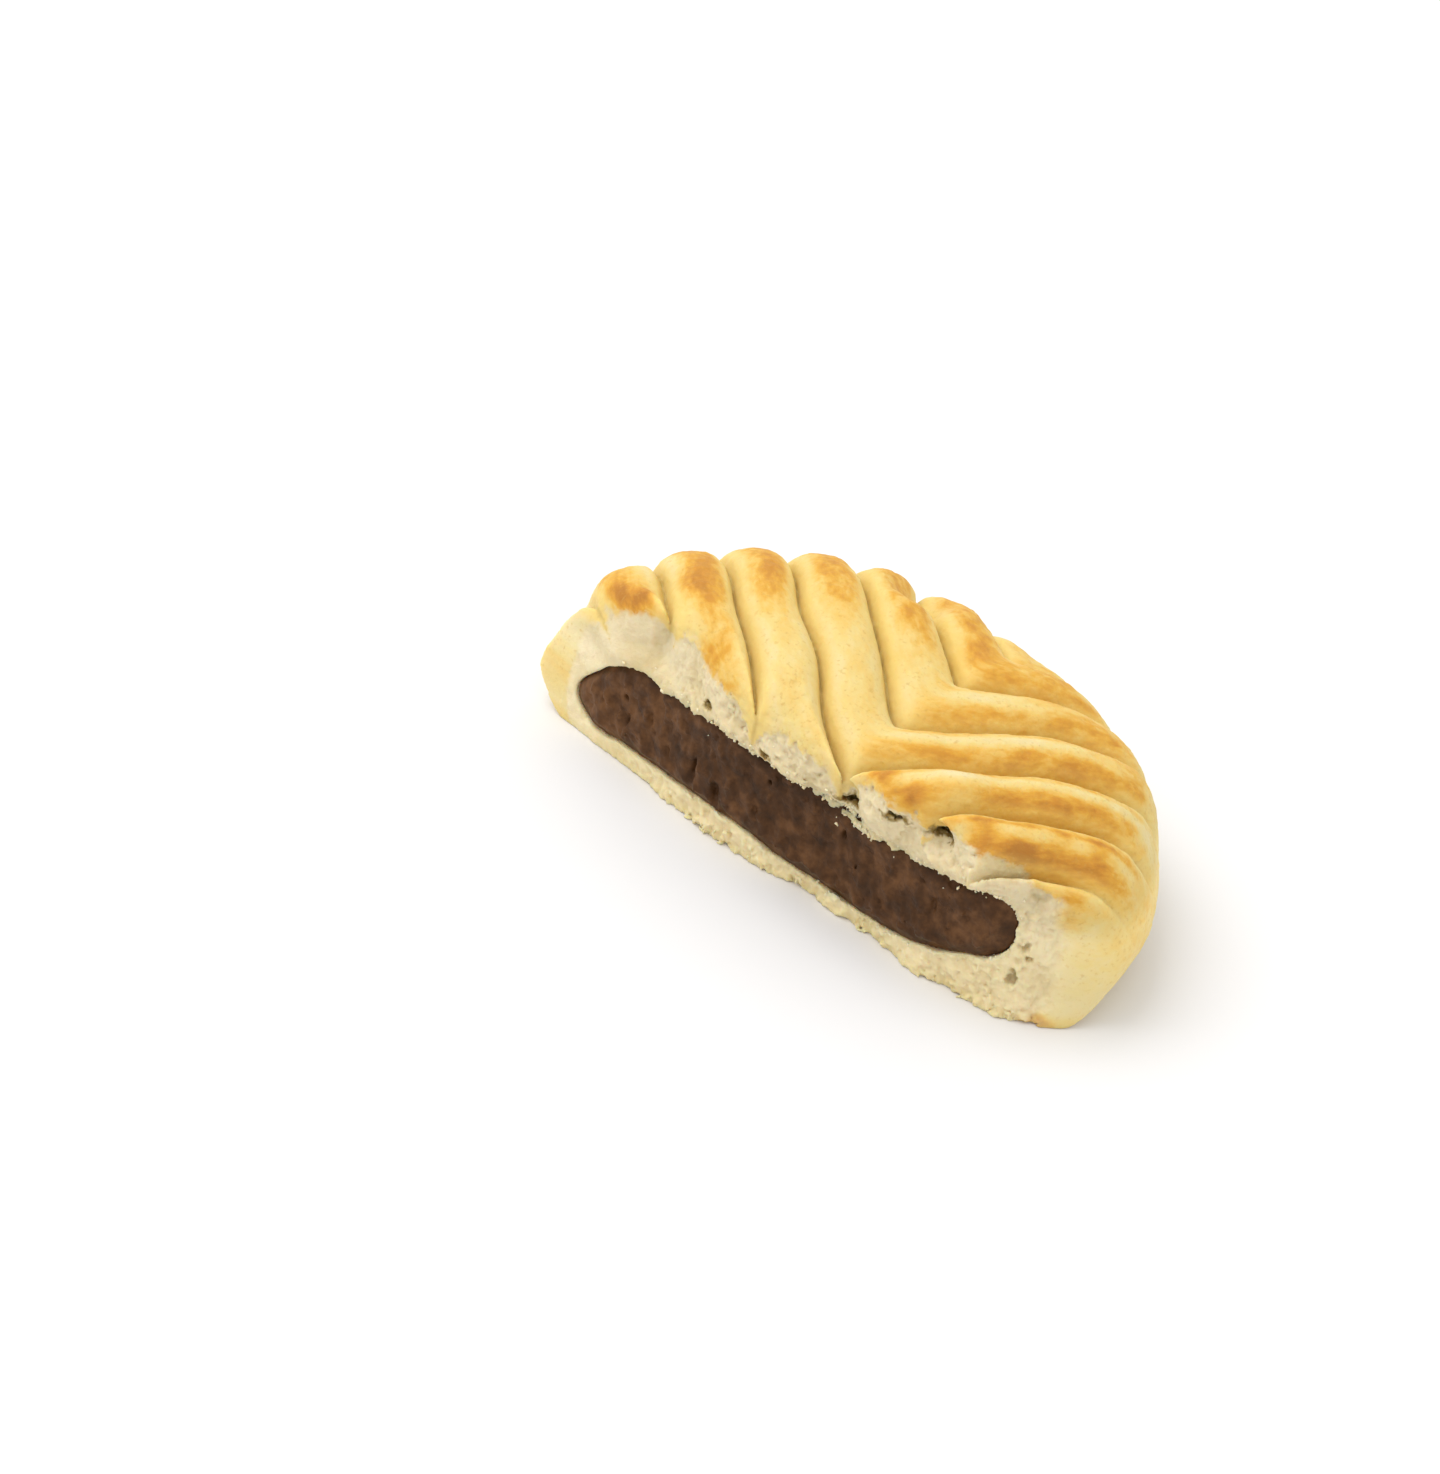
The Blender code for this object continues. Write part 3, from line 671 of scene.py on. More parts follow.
# browned and pale patches: x, y, z, how far round and how much
brownPatches = [
    (-29.0, 3.9, 14.4, 1.8, 0.45), (-27.3, 3.0, 15.6, 1.7, 0.4), (-25.6, 2.5, 16.4, 1.7, 0.4),
    (-23.8, 2.6, 17.2, 1.7, 0.45), (-27.0, 7.5, 17.5, 5.0, -0.42), (3.4, 18.5, 18.5, 4.5, 0.22),
    (7.3, 22.9, 16.5, 5.5, 0.28), (20.5, 4.6, 18.9, 2.3, 0.3), (23.6, 6.2, 18.0, 2.4, 0.35),
    (26.2, 8.6, 16.4, 2.6, 0.3), (-12.6, 0.8, 18.4, 3.2, 0.3), (-9.8, -1.0, 17.5, 2.8, 0.2),
    (-13.5, 2.4, 19.3, 1.0, 0.25), (8.9, -1.7, 18.7, 2.2, 0.65), (11.4, -1.2, 18.8, 2.2, 0.45),
    (14.8, 1.6, 20.0, 3.4, -0.32), (19.0, 5.0, 19.2, 3.4, -0.15), (18.7, 0.2, 18.5, 2.4, 0.55),
    (21.9, 1.5, 17.5, 3.2, 0.25), (24.5, 4.5, 16.2, 4.5, 0.15), (27.0, 3.6, 12.2, 3.2, 0.36),
    (31.0, 10.0, 9.0, 11.0, 0.3), (27.2, 2.8, 0.3, 1.8, 0.65), (25.6, 2.0, 0.2, 1.3, 0.5),
    (24.0, 1.6, 0.2, 1.0, 0.4), (-20.5, 5.5, 19.3, 4.5, 0.12), (4.0, 12.0, 19.0, 5.0, 0.12),
    (1.7, 18.0, 17.8, 3.0, 0.08), (-2.0, 13.0, 19.0, 4.0, 0.12), (-31.0, 2.2, 5.0, 5.5, 0.33),
    (27.0, 16.5, 14.0, 4.0, -0.15)]
# where the crust came away above the break: x, y, z, how far round
barePatches = [(18.4, -1.6, 15.4, 2.2), (20.8, -0.9, 15.0, 2.3), (22.8, 0.3, 14.6, 1.9)]
bareFade = (0.8, 1.1)


def addChevrons(tree, made):
    # the mould's grooves, and the skin that they leave
    parts = addNode(tree, "ShaderNodeSeparateXYZ", [made["onCrest"]])
    made.update(cx=parts.outputs[0], cy=parts.outputs[1], cz=parts.outputs[2])
    for name, wave in ridgeWaves.items():
        made[name] = softWaves(tree, made["onCrest"], *wave)
    sine, cosine = math.sin(seamTurn), math.cos(seamTurn)
    addSteps(tree, made, [
        ("behind", "SUBTRACT", "cy", "centre"),
        ("sideX", "MULTIPLY", "cx", cosine),
        ("sideBoth", "MULTIPLY_ADD", "behind", sine, "sideX"),
        ("side", "SUBTRACT", "sideBoth", "seamSide"),
        ("blendFrom", "MULTIPLY", "seamBlend", -1.0),
        ("right", "SMOOTHSTEP", "side", "blendFrom", "seamBlend", 0.0, 1.0),
        *[("arm" + name, "LINEAR", "right", 0.0, 1.0, "left" + name, "right" + name)
          for name in armBlends],
        # along and beside the seam, with the mould's wobble
        ("wobbleX", "MULTIPLY_ADD", "waveX", "wobble", "cx"),
        ("wobbleY", "MULTIPLY_ADD", "waveY", "wobble", "behind"),
        ("alongX", "MULTIPLY", "wobbleX", -sine),
        ("along", "MULTIPLY_ADD", "wobbleY", cosine, "alongX"),
        ("besideX", "MULTIPLY", "wobbleX", cosine),
        ("besideBoth", "MULTIPLY_ADD", "wobbleY", sine, "besideX"),
        ("beside", "SUBTRACT", "besideBoth", "seamSide"),
        ("beside2", "MULTIPLY", "beside", "beside"),
        ("corner2", "MULTIPLY_ADD", "corner", "corner", "beside2"),
        ("bent", "SQRT", "corner2"),
        ("slant", "SUBTRACT", "along", "bent"),
        ("slantMm", "DIVIDE", "slant", math.sqrt(2)),
        ("across", "SUBTRACT", "slantMm", "firstGroove"),
        ("turns", "DIVIDE", "across", "armPitch"),
        ("toCrest", "PINGPONG", "turns", 0.5),
        ("fromCrest", "LINEAR", "toCrest", 0.0, 0.5, 1.0, 0.0),
        ("arch", "POWER", "fromCrest", "archPower"),
        ("archLeft", "SUBTRACT", 1.0, "arch"),
        ("archTop", "POWER", "archLeft", "archRoot"),
        ("groove", "SUBTRACT", 1.0, "archTop"),
        ("creaseShare", "SMOOTHSTEP", "fromCrest", "creaseFrom", 1.0, 0.0, 1.0),
        # how deep they are: less on the shoulder and wall, more where the break tore them
        ("lossFrom", "SUBTRACT", "fadeTop", "lossBelow"),
        ("lossTo", "ADD", "fadeTop", "lossAbove"),
        ("onShoulder", "SMOOTHSTEP", "cz", "lossFrom", "lossTo", 1.0, 0.0),
        ("lost", "MULTIPLY", "armLoss", "onShoulder"),
        ("kept", "SUBTRACT", 1.0, "lost"),
        ("pressed", "MULTIPLY", "armDepth", "kept"),
        ("fadeFrom", "SUBTRACT", "fadeTop", "fadeSoft"),
        ("fade", "SMOOTHSTEP", "cz", "armFadeEnd", "fadeFrom", 0.0, 1.0),
        ("fromFront", "ADD", "cy", "tornFront"),
        ("fromFrontKept", "MAXIMUM", "fromFront", 0.0),
        ("tornPower", "DIVIDE", "fromFrontKept", "tornReach"),
        ("tornShare", "EXPONENT", "tornPower"),
        ("tornMore", "MULTIPLY", "tornShare", "tornDepth"),
        ("sinkFull", "ADD", "pressed", "tornMore"),
        ("archSink", "MULTIPLY", "sinkFull", "fade", "groove"),
        ("creaseFaded", "MULTIPLY", "armCrease", "fade"),
        ("sink", "MULTIPLY_ADD", "creaseFaded", "creaseShare", "archSink"),
        # the crests themselves rise and swell
        ("besideSeam", "SMOOTHSTEP", "side", 0.0, "riseWithin", 0.0, 1.0),
        ("nearTop", "SMOOTHSTEP", "cz", "widestAt", "fadeTop", 0.0, 1.0),
        ("leftUpOnly", "MULTIPLY", "besideSeam", "nearTop", "leftRise"),
        ("flatPlace", "MULTIPLY", "onCrest", (1.0, 1.0, 0.0)),
        *spotSteps("mounds", "flatPlace", [((x, y, 0.0), reach, up) for x, y, reach, up in mounds]),
        ("leftUp", "MULTIPLY_ADD", "mounds", "nearTop", "leftUpOnly"),
        ("offBase", "SMOOTHSTEP", "cz", 0.0, "swellFoot", 0.0, 1.0),
        ("swellShare", "MULTIPLY", "waveOut", "offBase"),
        ("swollenCrests", "MULTIPLY_ADD", "swellShare", "swell", "leftUp"),
        *spotSteps("bulges", "onCrest", [(spot[:3], *spot[3:]) for spot in bulges]),
        ("swollen", "ADD", "swollenCrests", "bulges"),
        ("outOfCrests", "SUBTRACT", "crestDistance", "leftUp"),
        ("sunk", "ADD", "crestDistance", "sink"),
        ("skin", "SUBTRACT", "sunk", "swollen"),
    ])


def addBreak(tree, made):
    # where the broken face stands: it hangs forward under the crust, and its edge is rounded
    noseSpots = [((x, 0.0, z), (wide, 1.0, high), out) for x, z, wide, high, out in noses]
    addSteps(tree, made, [
        ("lower", breakLine, "x"),
        ("upper", crustLine, "x"),
        ("lip", lipLine, "x"),
        ("endWide", endLine, "x"),
        ("flatFace", "MULTIPLY_ADD", "upper", "inCrust", "lower"),
        *spotSteps("noses", "upright", noseSpots),
        ("face", "SUBTRACT", "flatFace", "noses"),
        ("endRound", "MULTIPLY", "endWide", "endSharp"),
        ("intoLip", "ADD", "outOfCrests", "lip"),
        ("intoShare", "DIVIDE", "intoLip", "lip"),
        ("lipLow", "MAXIMUM", "intoShare", 0.0),
        ("lipMost", "MINIMUM", "lipLow", 1.0),
        ("lipClamped", "MULTIPLY", "lipMost", "lipHeight"),
        ("lip2", "MULTIPLY", "lipClamped", "lipClamped"),
        ("lipUp2", "SUBTRACT", 1.0, "lip2"),
        ("lipUp", "SQRT", "lipUp2"),
        ("lipBack", "SUBTRACT", 1.0, "lipUp"),
        ("brokenAt", "MULTIPLY_ADD", "lipBack", "lip", "face"),
    ])


def addCrumb(tree, made):
    # the rough broken face, the hollow for the paste, blisters and holes
    made["coarse"] = softWaves(tree, made["place"], *coarseWave)
    for name, (kind, scale, detail, roughness) in doughNoises.items():
        noise = addNode(tree, kind, {"Vector": made["place"], "Scale": scale, "Detail": detail,
                                     "Roughness": roughness})
        made[name] = noise.outputs[0]
        made[name + "Colour"] = noise.outputs["Color"]
    bareSpots = [(spot[:3], spot[3], 1.0) for spot in barePatches]
    holeSpots = [(spot[:3], spot[3:], spot[5], -spot[5]) for spot in holes]
    addSteps(tree, made, [
        ("crustKept", crustKept, "x"),
        ("apron", apronLine, "x"),
        ("ragsOut", "SUBTRACT", "rags", 0.5),
        ("shaken", "SUBTRACT", "grainsColour", (0.5, 0.5, 0.5)),
        ("jagged", "MULTIPLY_ADD", "shaken", (shake, shake, shake), "place"),
        ("grainOut", "LINEAR", "grains", noiseLow, noiseHigh, -1.0, 1.0),
        ("clumpOut", "LINEAR", "clumps", 0.0, "clumpSpan", "clumpIn", "clumpOutMost"),
        ("coarseShare", "MULTIPLY_ADD", "coarse", "coarsePart", "grainOut"),
        ("grainBoth", "MULTIPLY_ADD", "clumpOut", "clumpPart", "coarseShare"),
        ("underMark", "MULTIPLY", "skin", -1.0),
        ("crustIn", "MULTIPLY", "crustRough", -1.0),
        ("crustNoise", "LINEAR", "grains", 0.3, 0.7, "crustIn", "crustRough"),
        ("underRough", "ADD", "underMark", "crustNoise"),
        ("crustEnds", "ADD", "crustKept", "crustFade"),
        ("deepEnough", "SMOOTHSTEP", "underRough", "crustKept", "crustEnds", 0.0, 1.0),
        ("calmCrust", "LINEAR", "deepEnough", 0.0, 1.0, "crustCalm", 1.0),
        ("grainMm", "MULTIPLY", "calmLeft", "calmRight", "calmCrust", "grainBoth", "footRough",
         "grain"),
        # crumb swells over the paste's upper edge and hangs down in rags in front of it
        ("pasteTop", "ADD", "middle", "halfHigh"),
        ("apronLow", "SUBTRACT", "pasteTop", "apron"),
        ("raggedLow", "MULTIPLY_ADD", "ragsOut", "ragLength", "apronLow"),
        ("abovePaste", "SUBTRACT", "z", "apronLow"),
        ("farFromTop", "ABSOLUTE", "abovePaste"),
        ("nearEdge", "SMOOTHSTEP", "farFromTop", "apronFull", "apronGone", 1.0, 0.0),
        ("pasteFoot", "SUBTRACT", "middle", "halfHigh"),
        ("lapHigh", "MULTIPLY_ADD", "ragsOut", "lapRags", "pasteFoot"),
        ("lapTop", "ADD", "lapHigh", "lap"),
        ("apronShare", "SMOOTHSTEP", "apron", apronLeast, apronMost, 0.0, 1.0),
        ("growMm", "MULTIPLY", "nearEdge", "apronShare", "apronOut"),
        ("grownFace", "SUBTRACT", "grainMm", "growMm"),
        ("roughFace", "ADD", "brokenAt", "grownFace"),
        ("broken", "SUBTRACT", "roughFace", "y"),
        ("hollow", "SUBTRACT", "gap", "pasteDistance"),
        ("base", "MULTIPLY", "z", -1.0),
        ("blisterOut", "LINEAR", "blisters", noiseLow, noiseHigh, -1.0, 1.0),
        ("blisterMm", "MULTIPLY", "blisterOut", "blister"),
        ("blisteredCrust", "SUBTRACT", "skin", "blisterMm"),
        *spotSteps("bare", "jagged", bareSpots, bareFade, "MAXIMUM"),
        ("bareDeep", "MULTIPLY_ADD", "grainOut", "bareRough", "bareDepth"),
        ("blistered", "MULTIPLY_ADD", "bare", "bareDeep", "blisteredCrust"),
        ("cutOne", "SMOOTH_MAX", "blistered", "broken", "endRound"),
        ("underApron", "SUBTRACT", "raggedLow", "z"),
        ("behindFace", "SUBTRACT", "y", "brokenAt"),
        ("behindApron", "SUBTRACT", "behindFace", "apronThin"),
        ("overLap", "SUBTRACT", "z", "lapTop"),
        ("underOrOver", "MINIMUM", "underApron", "overLap"),
        ("outOfApron", "MAXIMUM", "underOrOver", "behindApron"),
        ("hollowOpen", "MINIMUM", "hollow", "outOfApron"),
        ("cutTwo", "MAXIMUM", "cutOne", "hollowOpen"),
        ("cutThree", "MAXIMUM", "cutTwo", "base"),
        # how far inside the nearest hole
        *spotSteps("inHole", "jagged", holeSpots, (0.0, 2.0), "MAXIMUM", -1.0, "LINEAR"),
        ("solid", "MAXIMUM", "cutThree", "inHole"),
    ])


def addMarks(tree, made):
    # what the material reads: the broken part, its holes and recesses, and the browning
    addSteps(tree, made, [
        ("overSkin", "SUBTRACT", "broken", "skin"),
        ("blendIn", "MULTIPLY", "breakBlend", -1.0),
        ("isBroken", "SMOOTHSTEP", "overSkin", "blendIn", "breakBlend", 0.0, 1.0),
        ("brokenOnly", "MULTIPLY", "isBroken", "deepEnough"),
        ("brokenOrBare", "MAXIMUM", "brokenOnly", "bare"),
        ("brokenEnd", "MULTIPLY", "brokenOrBare", "wallEnd"),
        *spotSteps("patches", "place", [(spot[:3], *spot[3:]) for spot in brownPatches]),
        # the oven caught the broken edge low down too
        ("toastShare", "SMOOTHSTEP", "patches", "toastFrom", "toastFull", 0.0, 1.0),
        ("toastPatch", "MULTIPLY", "toastShare", "toastLow"),
        ("toast", "MAXIMUM", "toastPatch", "foot"),
        ("untoasted", "SUBTRACT", 1.0, "toast"),
        ("brokenMark", "MULTIPLY", "brokenEnd", "untoasted"),
        # painted shade where the crumb lies further in
        ("recess", "LINEAR", "grainBoth", "recessFrom", "recessFull", 0.0, 1.0),
        # painted shade inside the holes, fainter in low ones
        ("holeOpen", "SMOOTHSTEP", "inHole", "holeRim", 0.0, 0.0, 1.0),
        ("holeMark", "MULTIPLY", "holeOpen", "holeHigh"),
        ("crumbMark", "MULTIPLY", "nearPaste", "lessLeft", "aboveMiddle", "brokenMark"),
        # browning: on the left arms' crests towards the rim, on the right arms' front
        # flanks, and in patches. Across the right arms it also holds a painted highlight on the
        # crests and painted shade just behind them
        ("turnShare", "FRACT", "turns"),
        ("flankRight", frontFlankBrownAndHighlight, "turnShare"),
        ("fromFlank", "SUBTRACT", "turnShare", "flankMiddle"),
        ("flankAway", "ABSOLUTE", "fromFlank"),
        ("flankLeft", "SMOOTHSTEP", "flankAway", "flankNear", "flankFar", 1.0,
         "flankLeast"),
        ("flankRear", "MAXIMUM", "flankRight", "rearCrest"),
        ("flank", "LINEAR", "right", 0.0, 1.0, "flankLeft", "flankRear"),
        ("rimRight", "MULTIPLY", "rimAlong", "rearLess"),
        ("rim", "LINEAR", "right", 0.0, 1.0, "rimLeft", "rimRight"),
        ("grooveLess", "LINEAR", "groove", 0.1, 0.8, 1.0, "armGrooveBrown"),
        ("onTop", "MULTIPLY", "rim", "flank", "up", "grooveLess"),
        ("onTopOrWall", "MAXIMUM", "onTop", "rearWall"),
        ("brownMark", "ADD", "onTopOrWall", "patches", "foot"),
        # painted shade along the bottom of each groove
        ("creaseMark", "MULTIPLY", "armCreaseTint", "creaseLine", "fade"),
        # painted light in the grooves
        ("grooveMark", "MULTIPLY", "armGrooveTint", "grooveWide", "fade"),
        ("armSum", "ADD", "along", "bent"),
        ("alongArm", "DIVIDE", "armSum", math.sqrt(2)),
    ])
    names = {"browned": "brownMark", "broken": "brokenMark", "under": "underMark",
             "crease": "creaseMark", "recess": "recess", "hole": "holeMark",
             "groove": "grooveMark", "alongArm": "alongArm", "acrossArm": "across",
             "crumbs": "crumbMark"}
    return [(mark, made[name]) for mark, name in names.items()]


def makeDough(material):
    values = {**roundShape, **doughValues}
    tree, made = startTree("doughTree", values)
    addEnvelope(tree, made)
    addChevrons(tree, made)
    addPasteForm(tree, made)
    addSteps(tree, made, [(name, "SMOOTHSTEP", *ramp) for name, ramp in doughRamps.items()])
    addBreak(tree, made)
    addCrumb(tree, made)
    marks = addMarks(tree, made)
    finishTree(tree, made["solid"], doughMesh, material, marks)
    dough = meshFrom(tree, "shortbreadHalf", values, keep=doughMesh["keep"])
    dropSpecks(dough)
    keepInside(dough, *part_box("dough"))
    return dough


# Date paste: ground dates pressed into a slab. Dark, a little sticky, with torn fibres.

pasteFinish = {
    "colours": [(0.3, "#33200f"), (0.5, "#4a2f18"), (0.7, "#684629")],
    "fleckScale": 0.5,         # per mm: flecks of about 2 mm, and finer ones in them
    "fleckRoughness": 0.62,
    "leftEndLight": 0.1,              # painted light: how much lighter its left end is made, where the light falls
    "leftEndLightFrom": -26.0,
    "leftEndLightTo": -8.0,
    "bump": 0.3,               # mm
    "bumpStrength": 0.5,
    "specular": 0.15,
    "roughness": 0.5,
    "ior": 1.46,
}


def pasteMaterial():
    look = pasteFinish
    material = newMaterial("datePaste")
    tree = material.node_tree
    place = addNode(tree, "ShaderNodeTexCoord").outputs["Object"]
    inMm = addNode(tree, vec, {0: place, 3: perMetre}, operation="SCALE")
    fleck = addNode(tree, "ShaderNodeTexNoise", {"Vector": inMm, "Scale": look["fleckScale"],
                                                 "Detail": 5.0,
                                                 "Roughness": look["fleckRoughness"]})
    alongX = addNode(tree, "ShaderNodeSeparateXYZ", [inMm]).outputs["X"]
    # painted light: lighter towards the left end
    leftEndLit = addNode(tree, span, [alongX, look["leftEndLightFrom"], look["leftEndLightTo"], look["leftEndLight"], 0.0])
    shade = addNode(tree, calc, [fleck, leftEndLit], operation="ADD")
    colour = addNode(tree, "ShaderNodeValToRGB", [shade], stops=look["colours"])
    bump = addNode(tree, "ShaderNodeBump", {"Height": fleck, "Strength": look["bumpStrength"],
                                            "Distance": look["bump"] * mm})
    shader = addNode(tree, "ShaderNodeBsdfPrincipled", {
        "Base Color": colour, "Roughness": look["roughness"], "IOR": look["ior"],
        "Specular IOR Level": look["specular"], "Normal": bump})
    addNode(tree, "ShaderNodeOutputMaterial", [shader])
    return material


# The date paste, in mm

pasteValues = {
    "proud": 0.35,             # how far it stands in front of the dough's broken face
    "tear": 0.42,              # how far the torn face goes in and out
    "fibre": 0.11,
    "edgeRound": 0.7,          # how far its edge draws back
    "edgeWide": -1.6,
}
pasteMesh = {"voxel": 0.19, "low": (-29.2, -2.4, 1.0), "high": (24.6, 27.2, 13.6), "keep": 0.5}
tearScale, fibreScale = 0.7, 2.2       # per mm
tearStretch = (1.0, 1.0, 0.6)          # tears and fibres run upwards
# notches torn in the paste: x, z, half width, half height, depth
notches = [(-22.0, 7.5, 0.45, 0.45, 0.9), (-21.4, 5.4, 0.25, 1.0, 0.5), (-18.6, 7.4, 0.3, 1.2, 0.5),
           (-12.3, 6.0, 0.5, 1.7, 0.5), (-9.4, 4.9, 0.7, 2.0, 0.9), (-3.6, 10.1, 0.35, 0.4, 0.6),
           (15.8, 8.2, 0.4, 1.5, 0.5), (4.8, 9.0, 0.3, 0.8, 0.6), (9.0, 5.0, 0.3, 1.0, 0.35)]
notchFade = (0.3, 1.0)
# where crumbs stick to it: what each follows, where it begins and ends, its values there
pasteRamps = {
    "nearEdge": ("pasteDistance", -1.4, -0.2, 0.02, 1.0),
    "upperHalf": ("fromMiddle", 0.5, 3.0, 0.03, 1.0),
    "lessLeft": ("x", -20.0, -4.0, 0.0, 1.0),
}


def makePaste(material):
    values = {**roundShape, **pasteValues}
    tree, made = startTree("pasteTree", values)
    addEnvelope(tree, made)
    addPasteForm(tree, made)
    stretched = addNode(tree, vec, [made["place"], tearStretch], operation="MULTIPLY")
    tears = addNode(tree, "ShaderNodeTexNoise", {"Vector": stretched, "Scale": tearScale,
                                                 "Detail": 2.0})
    fibres = addNode(tree, "ShaderNodeTexNoise", {"Vector": stretched, "Scale": fibreScale,
                                                  "Detail": 3.0, "Roughness": 0.6})
    made.update(tears=tears.outputs[0], fibres=fibres.outputs[0])
    notchSpots = [((x, 0.0, z), (wide, 1.0, high), deep) for x, z, wide, high, deep in notches]
    addSteps(tree, made, [
        ("lower", breakLine, "x"),
        ("tearOut", "LINEAR", "tears", noiseLow, noiseHigh, -1.0, 1.0),
        ("fibreOut", "LINEAR", "fibres", noiseLow, noiseHigh, -1.0, 1.0),
        ("tearMm", "MULTIPLY", "tearOut", "tear"),
        ("fibreBoth", "MULTIPLY_ADD", "fibreOut", "fibre", "tearMm"),
        ("inEdge", "SMOOTHSTEP", "pasteDistance", "edgeWide", 0.0, 0.0, 1.0),
        ("calmEdge", "SUBTRACT", 1.0, "inEdge"),
        ("fibreMm", "MULTIPLY", "fibreBoth", "calmEdge"),
        ("edgeBack", "MULTIPLY_ADD", "inEdge", "edgeRound", "lower"),
        *spotSteps("notches", "upright", notchSpots, notchFade),
        ("tornFace", "ADD", "edgeBack", "notches"),
        ("roughFace", "ADD", "tornFace", "fibreMm"),
        ("standing", "SUBTRACT", "roughFace", "proud"),
        ("broken", "SUBTRACT", "standing", "y"),
        ("solid", "MAXIMUM", "pasteDistance", "broken"),
        # a few crumbs stick to the paste, most of them under its upper edge
        *[(name, "SMOOTHSTEP", *ramp) for name, ramp in pasteRamps.items()],
        ("onFace", "LINEAR", "broken", -0.4, -0.1, 0.0, 1.0),
        ("crumbMark", "MULTIPLY", "nearEdge", "upperHalf", "lessLeft", "onFace"),
    ])
    finishTree(tree, made["solid"], pasteMesh, material, [("crumbs", made["crumbMark"])])
    paste = meshFrom(tree, "datePasteSlab", values, keep=pasteMesh["keep"])
    dropSpecks(paste)
    keepInside(paste, *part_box("date_paste"))
    return paste


# Loose crumbs of shortbread: along the paste's upper edge, on the break and a few on the paste

crumbValues = {"perMm2": 1.4, "smallest": 0.12, "largest": 0.42}
crumbSeed, tintSeed = 4, 7
crumbShape = {
    "kinds": 4,
    "radius": 0.5,             # of a crumb 1 across, before its size
    "segments": 6,
    "rings": 5,
    "lumpScale": 3.2,
    "lumps": 0.75,             # how far the lumps push it in and out
    "flat": (1.3, 1.0, 0.75),
    "smallOnes": 2.5,          # the higher, the more of them are small
}


def crumbMaterial():
    look = doughFinish
    material = newMaterial("shortbreadCrumb")
    tree = material.node_tree
    tint = addNode(tree, "ShaderNodeAttribute", attribute_name="tint").outputs["Fac"]
    colour = addNode(tree, "ShaderNodeValToRGB", [tint], stops=look["looseCrumb"])
    shader = addNode(tree, "ShaderNodeBsdfPrincipled", {
        "Base Color": colour, "Roughness": look["looseRoughness"], "IOR": look["ior"],
        "Subsurface Weight": look["soft"], "Subsurface Radius": look["softColour"],
        "Subsurface Scale": look["looseReach"] * mm})
    addNode(tree, "ShaderNodeOutputMaterial", [shader])
    return material


def makeCrumbs(dough, paste, material):
    form = crumbShape
    tree, made = startTree("crumbTree", crumbValues)
    shapes = []
    for i in range(form["kinds"]):
        ball = addNode(tree, "GeometryNodeMeshUVSphere", {
            "Segments": form["segments"], "Rings": form["rings"], "Radius": form["radius"]})
        place = addNode(tree, "GeometryNodeInputPosition")
        moved = addNode(tree, vec, [place, (7.0 * i, 3.0, 5.0)], operation="ADD")
        lumps = addNode(tree, "ShaderNodeTexNoise", {"Vector": moved, "Scale": form["lumpScale"],
                                                     "Detail": 1.0})
        size = addNode(tree, span, [lumps, noiseLow, noiseHigh, -form["lumps"], form["lumps"]])
        push = addNode(tree, vec, {0: place, 3: size}, operation="SCALE")
        shape = addNode(tree, "GeometryNodeSetPosition", {"Geometry": ball, "Offset": push})
        shapes.append(addNode(tree, "GeometryNodeGeometryToInstance", [shape]))
    kinds = addNode(tree, "GeometryNodeJoinGeometry")
    for shape in shapes:
        tree.links.new(shape.outputs[0], kinds.inputs[0])

    mark = addNode(tree, "GeometryNodeInputNamedAttribute", {"Name": "crumbs"}, data_type="FLOAT")
    perM2 = addNode(tree, calc, [made["perMm2"], perMetre ** 2], operation="MULTIPLY")
    density = addNode(tree, calc, [mark, perM2], operation="MULTIPLY")
    both = addNode(tree, "GeometryNodeJoinGeometry")
    for source in (dough, paste):
        info = addNode(tree, "GeometryNodeObjectInfo", {"Object": source})
        tree.links.new(info.outputs["Geometry"], both.inputs[0])
    points = addNode(tree, "GeometryNodeDistributePointsOnFaces",
                     {"Mesh": both, "Density": density, "Seed": crumbSeed})
    spin = addNode(tree, "FunctionNodeRandomValue", {0: (0.0, 0.0, 0.0), 1: (6.28, 6.28, 6.28)},
                   data_type="FLOAT_VECTOR")
    pick = addNode(tree, "FunctionNodeRandomValue", {"Min": 0.0, "Max": 1.0, "Seed": tintSeed},
                   data_type="FLOAT")
    draw = pick.outputs[1]
    small = addNode(tree, calc, [draw, form["smallOnes"]], operation="POWER")
    size = addNode(tree, span, [small, 0.0, 1.0, made["smallest"], made["largest"]])
    metres = addNode(tree, calc, [size, mm], operation="MULTIPLY")
    flat = addNode(tree, vec, {0: form["flat"], 3: metres}, operation="SCALE")
    which = addNode(tree, calc, [draw, 97.0], operation="MULTIPLY")     # spreads the kinds
    kind = addNode(tree, calc, [which, float(form["kinds"])], operation="FLOORED_MODULO")
    placed = addNode(tree, "GeometryNodeInstanceOnPoints", {
        "Points": points, "Instance": kinds, "Pick Instance": True, "Instance Index": kind,
        "Rotation": spin, "Scale": flat})
    tinted = addNode(tree, "GeometryNodeStoreNamedAttribute", {
        "Geometry": placed, "Name": "tint", "Value": draw}, data_type="FLOAT", domain="INSTANCE")
    real = addNode(tree, "GeometryNodeRealizeInstances", [tinted])
    finished = addNode(tree, "GeometryNodeSetMaterial", {"Geometry": real, "Material": material})
    addNode(tree, "NodeGroupOutput", [finished])
    crumbs = meshFrom(tree, "shortbreadCrumbs", crumbValues)
    keepInside(crumbs, *cadBox)
    return crumbs


# Camera, floor and light, as in a bright product photograph

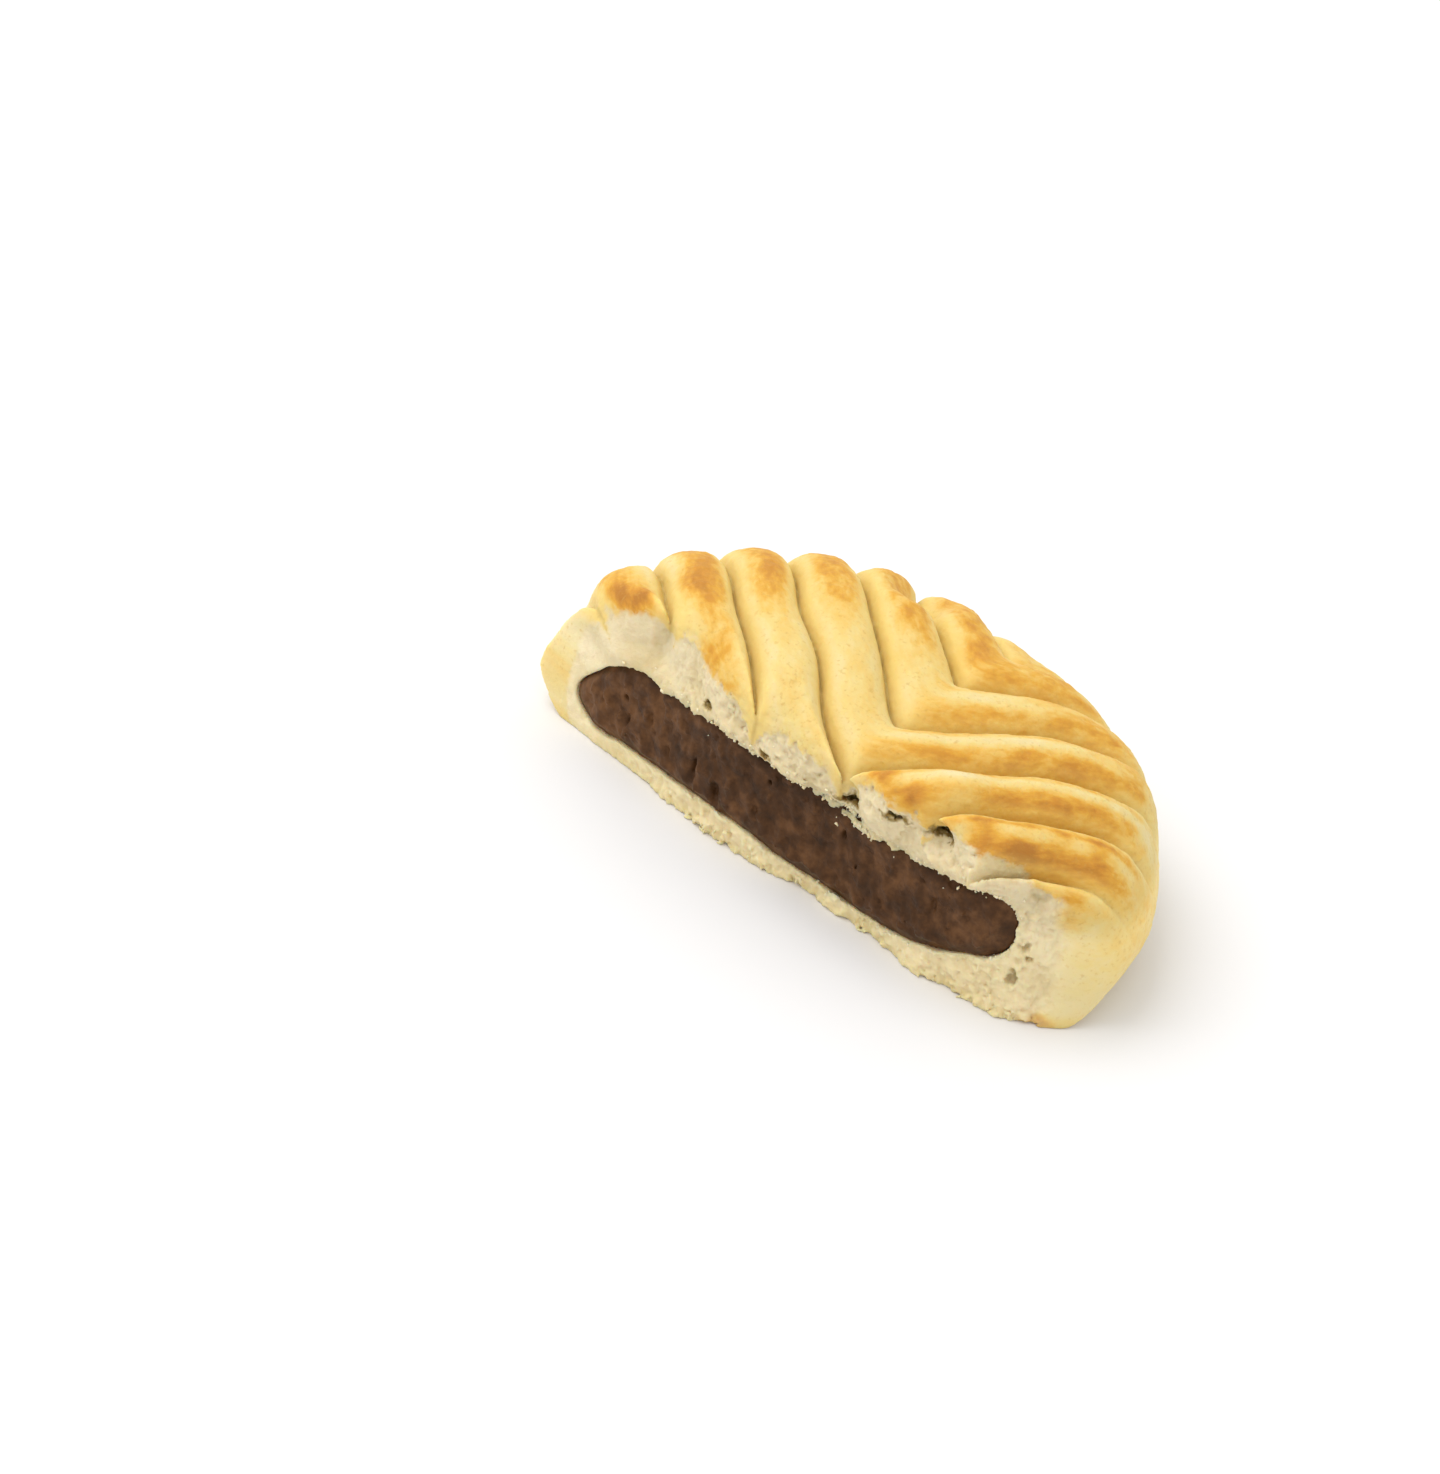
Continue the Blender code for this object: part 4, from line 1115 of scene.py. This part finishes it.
cameraAt = {
    "place": (0.25363, -0.40910, 0.37074),
    "right": (0.7506, 0.6422, 0.1555),
    "up": (-0.4913, 0.3851, 0.7812),
    "forward": (-0.4419, 0.6628, -0.6046),
    "lens": 160.605,
    "sensor": 36.0,
    "nearest": 0.01,
}
studio = {"world": 1.02, "floor": "#e3e2e2", "floorHalf": 2.0, "floorRoughness": 0.9,
          "floorSpecular": 0.1, "key": 4.6, "keyFrom": (-0.5, -0.25, 1.0), "keySize": 0.7,
          "keyAway": 0.9}


def makeStudio():
    scene = bpy.context.scene
    scene.view_settings.view_transform = "Standard"
    lens = bpy.data.cameras.new("camera")
    lens.lens = cameraAt["lens"]
    lens.sensor_width = cameraAt["sensor"]
    lens.clip_start = cameraAt["nearest"]
    camera = bpy.data.objects.new("camera", lens)
    matrix = np.eye(4)
    matrix[:3, 0] = cameraAt["right"]
    matrix[:3, 1] = cameraAt["up"]
    matrix[:3, 2] = [-v for v in cameraAt["forward"]]
    matrix[:3, 3] = cameraAt["place"]
    camera.matrix_world = Matrix(matrix)
    scene.collection.objects.link(camera)
    scene.camera = camera

    world = bpy.data.worlds.new("studioRoom")
    world.use_nodes = True
    world.node_tree.nodes["Background"].inputs["Color"].default_value = (1, 1, 1, 1)
    world.node_tree.nodes["Background"].inputs["Strength"].default_value = studio["world"]
    scene.world = world

    floorMesh = bpy.data.meshes.new("floor")
    half = studio["floorHalf"]
    floorMesh.from_pydata([(-half, -half, 0), (half, -half, 0), (half, half, 0), (-half, half, 0)],
                          [], [(0, 1, 2, 3)])
    floor = bpy.data.objects.new("floor", floorMesh)
    scene.collection.objects.link(floor)
    paper = newMaterial("whitePaper")
    shader = addNode(paper.node_tree, "ShaderNodeBsdfPrincipled", {
        "Base Color": linear(studio["floor"]), "Roughness": studio["floorRoughness"],
        "Specular IOR Level": studio["floorSpecular"]})
    addNode(paper.node_tree, "ShaderNodeOutputMaterial", [shader])
    floorMesh.materials.append(paper)

    light = bpy.data.lights.new("softbox", "AREA")
    light.shape = "SQUARE"
    light.size = studio["keySize"]
    light.energy = studio["key"]
    box = bpy.data.objects.new("softbox", light)
    direction = np.array(studio["keyFrom"]) / np.linalg.norm(studio["keyFrom"])
    box.location = direction * studio["keyAway"]
    box.rotation_mode = "QUATERNION"
    box.rotation_quaternion = Vector(direction).to_track_quat("Z", "Y")
    scene.collection.objects.link(box)


makeStudio()
print("studio made")

shortbread = makeDough(doughMaterial())
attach(shortbread, "root")
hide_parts("dough")
print("shortbread made:", len(shortbread.data.polygons), "faces")

paste = makePaste(pasteMaterial())
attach(paste, "root")
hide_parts("date_paste")
print("paste made:", len(paste.data.polygons), "faces")

crumbs = makeCrumbs(shortbread, paste, crumbMaterial())
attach(crumbs, "root")
print("crumbs made:", len(crumbs.data.polygons), "faces")
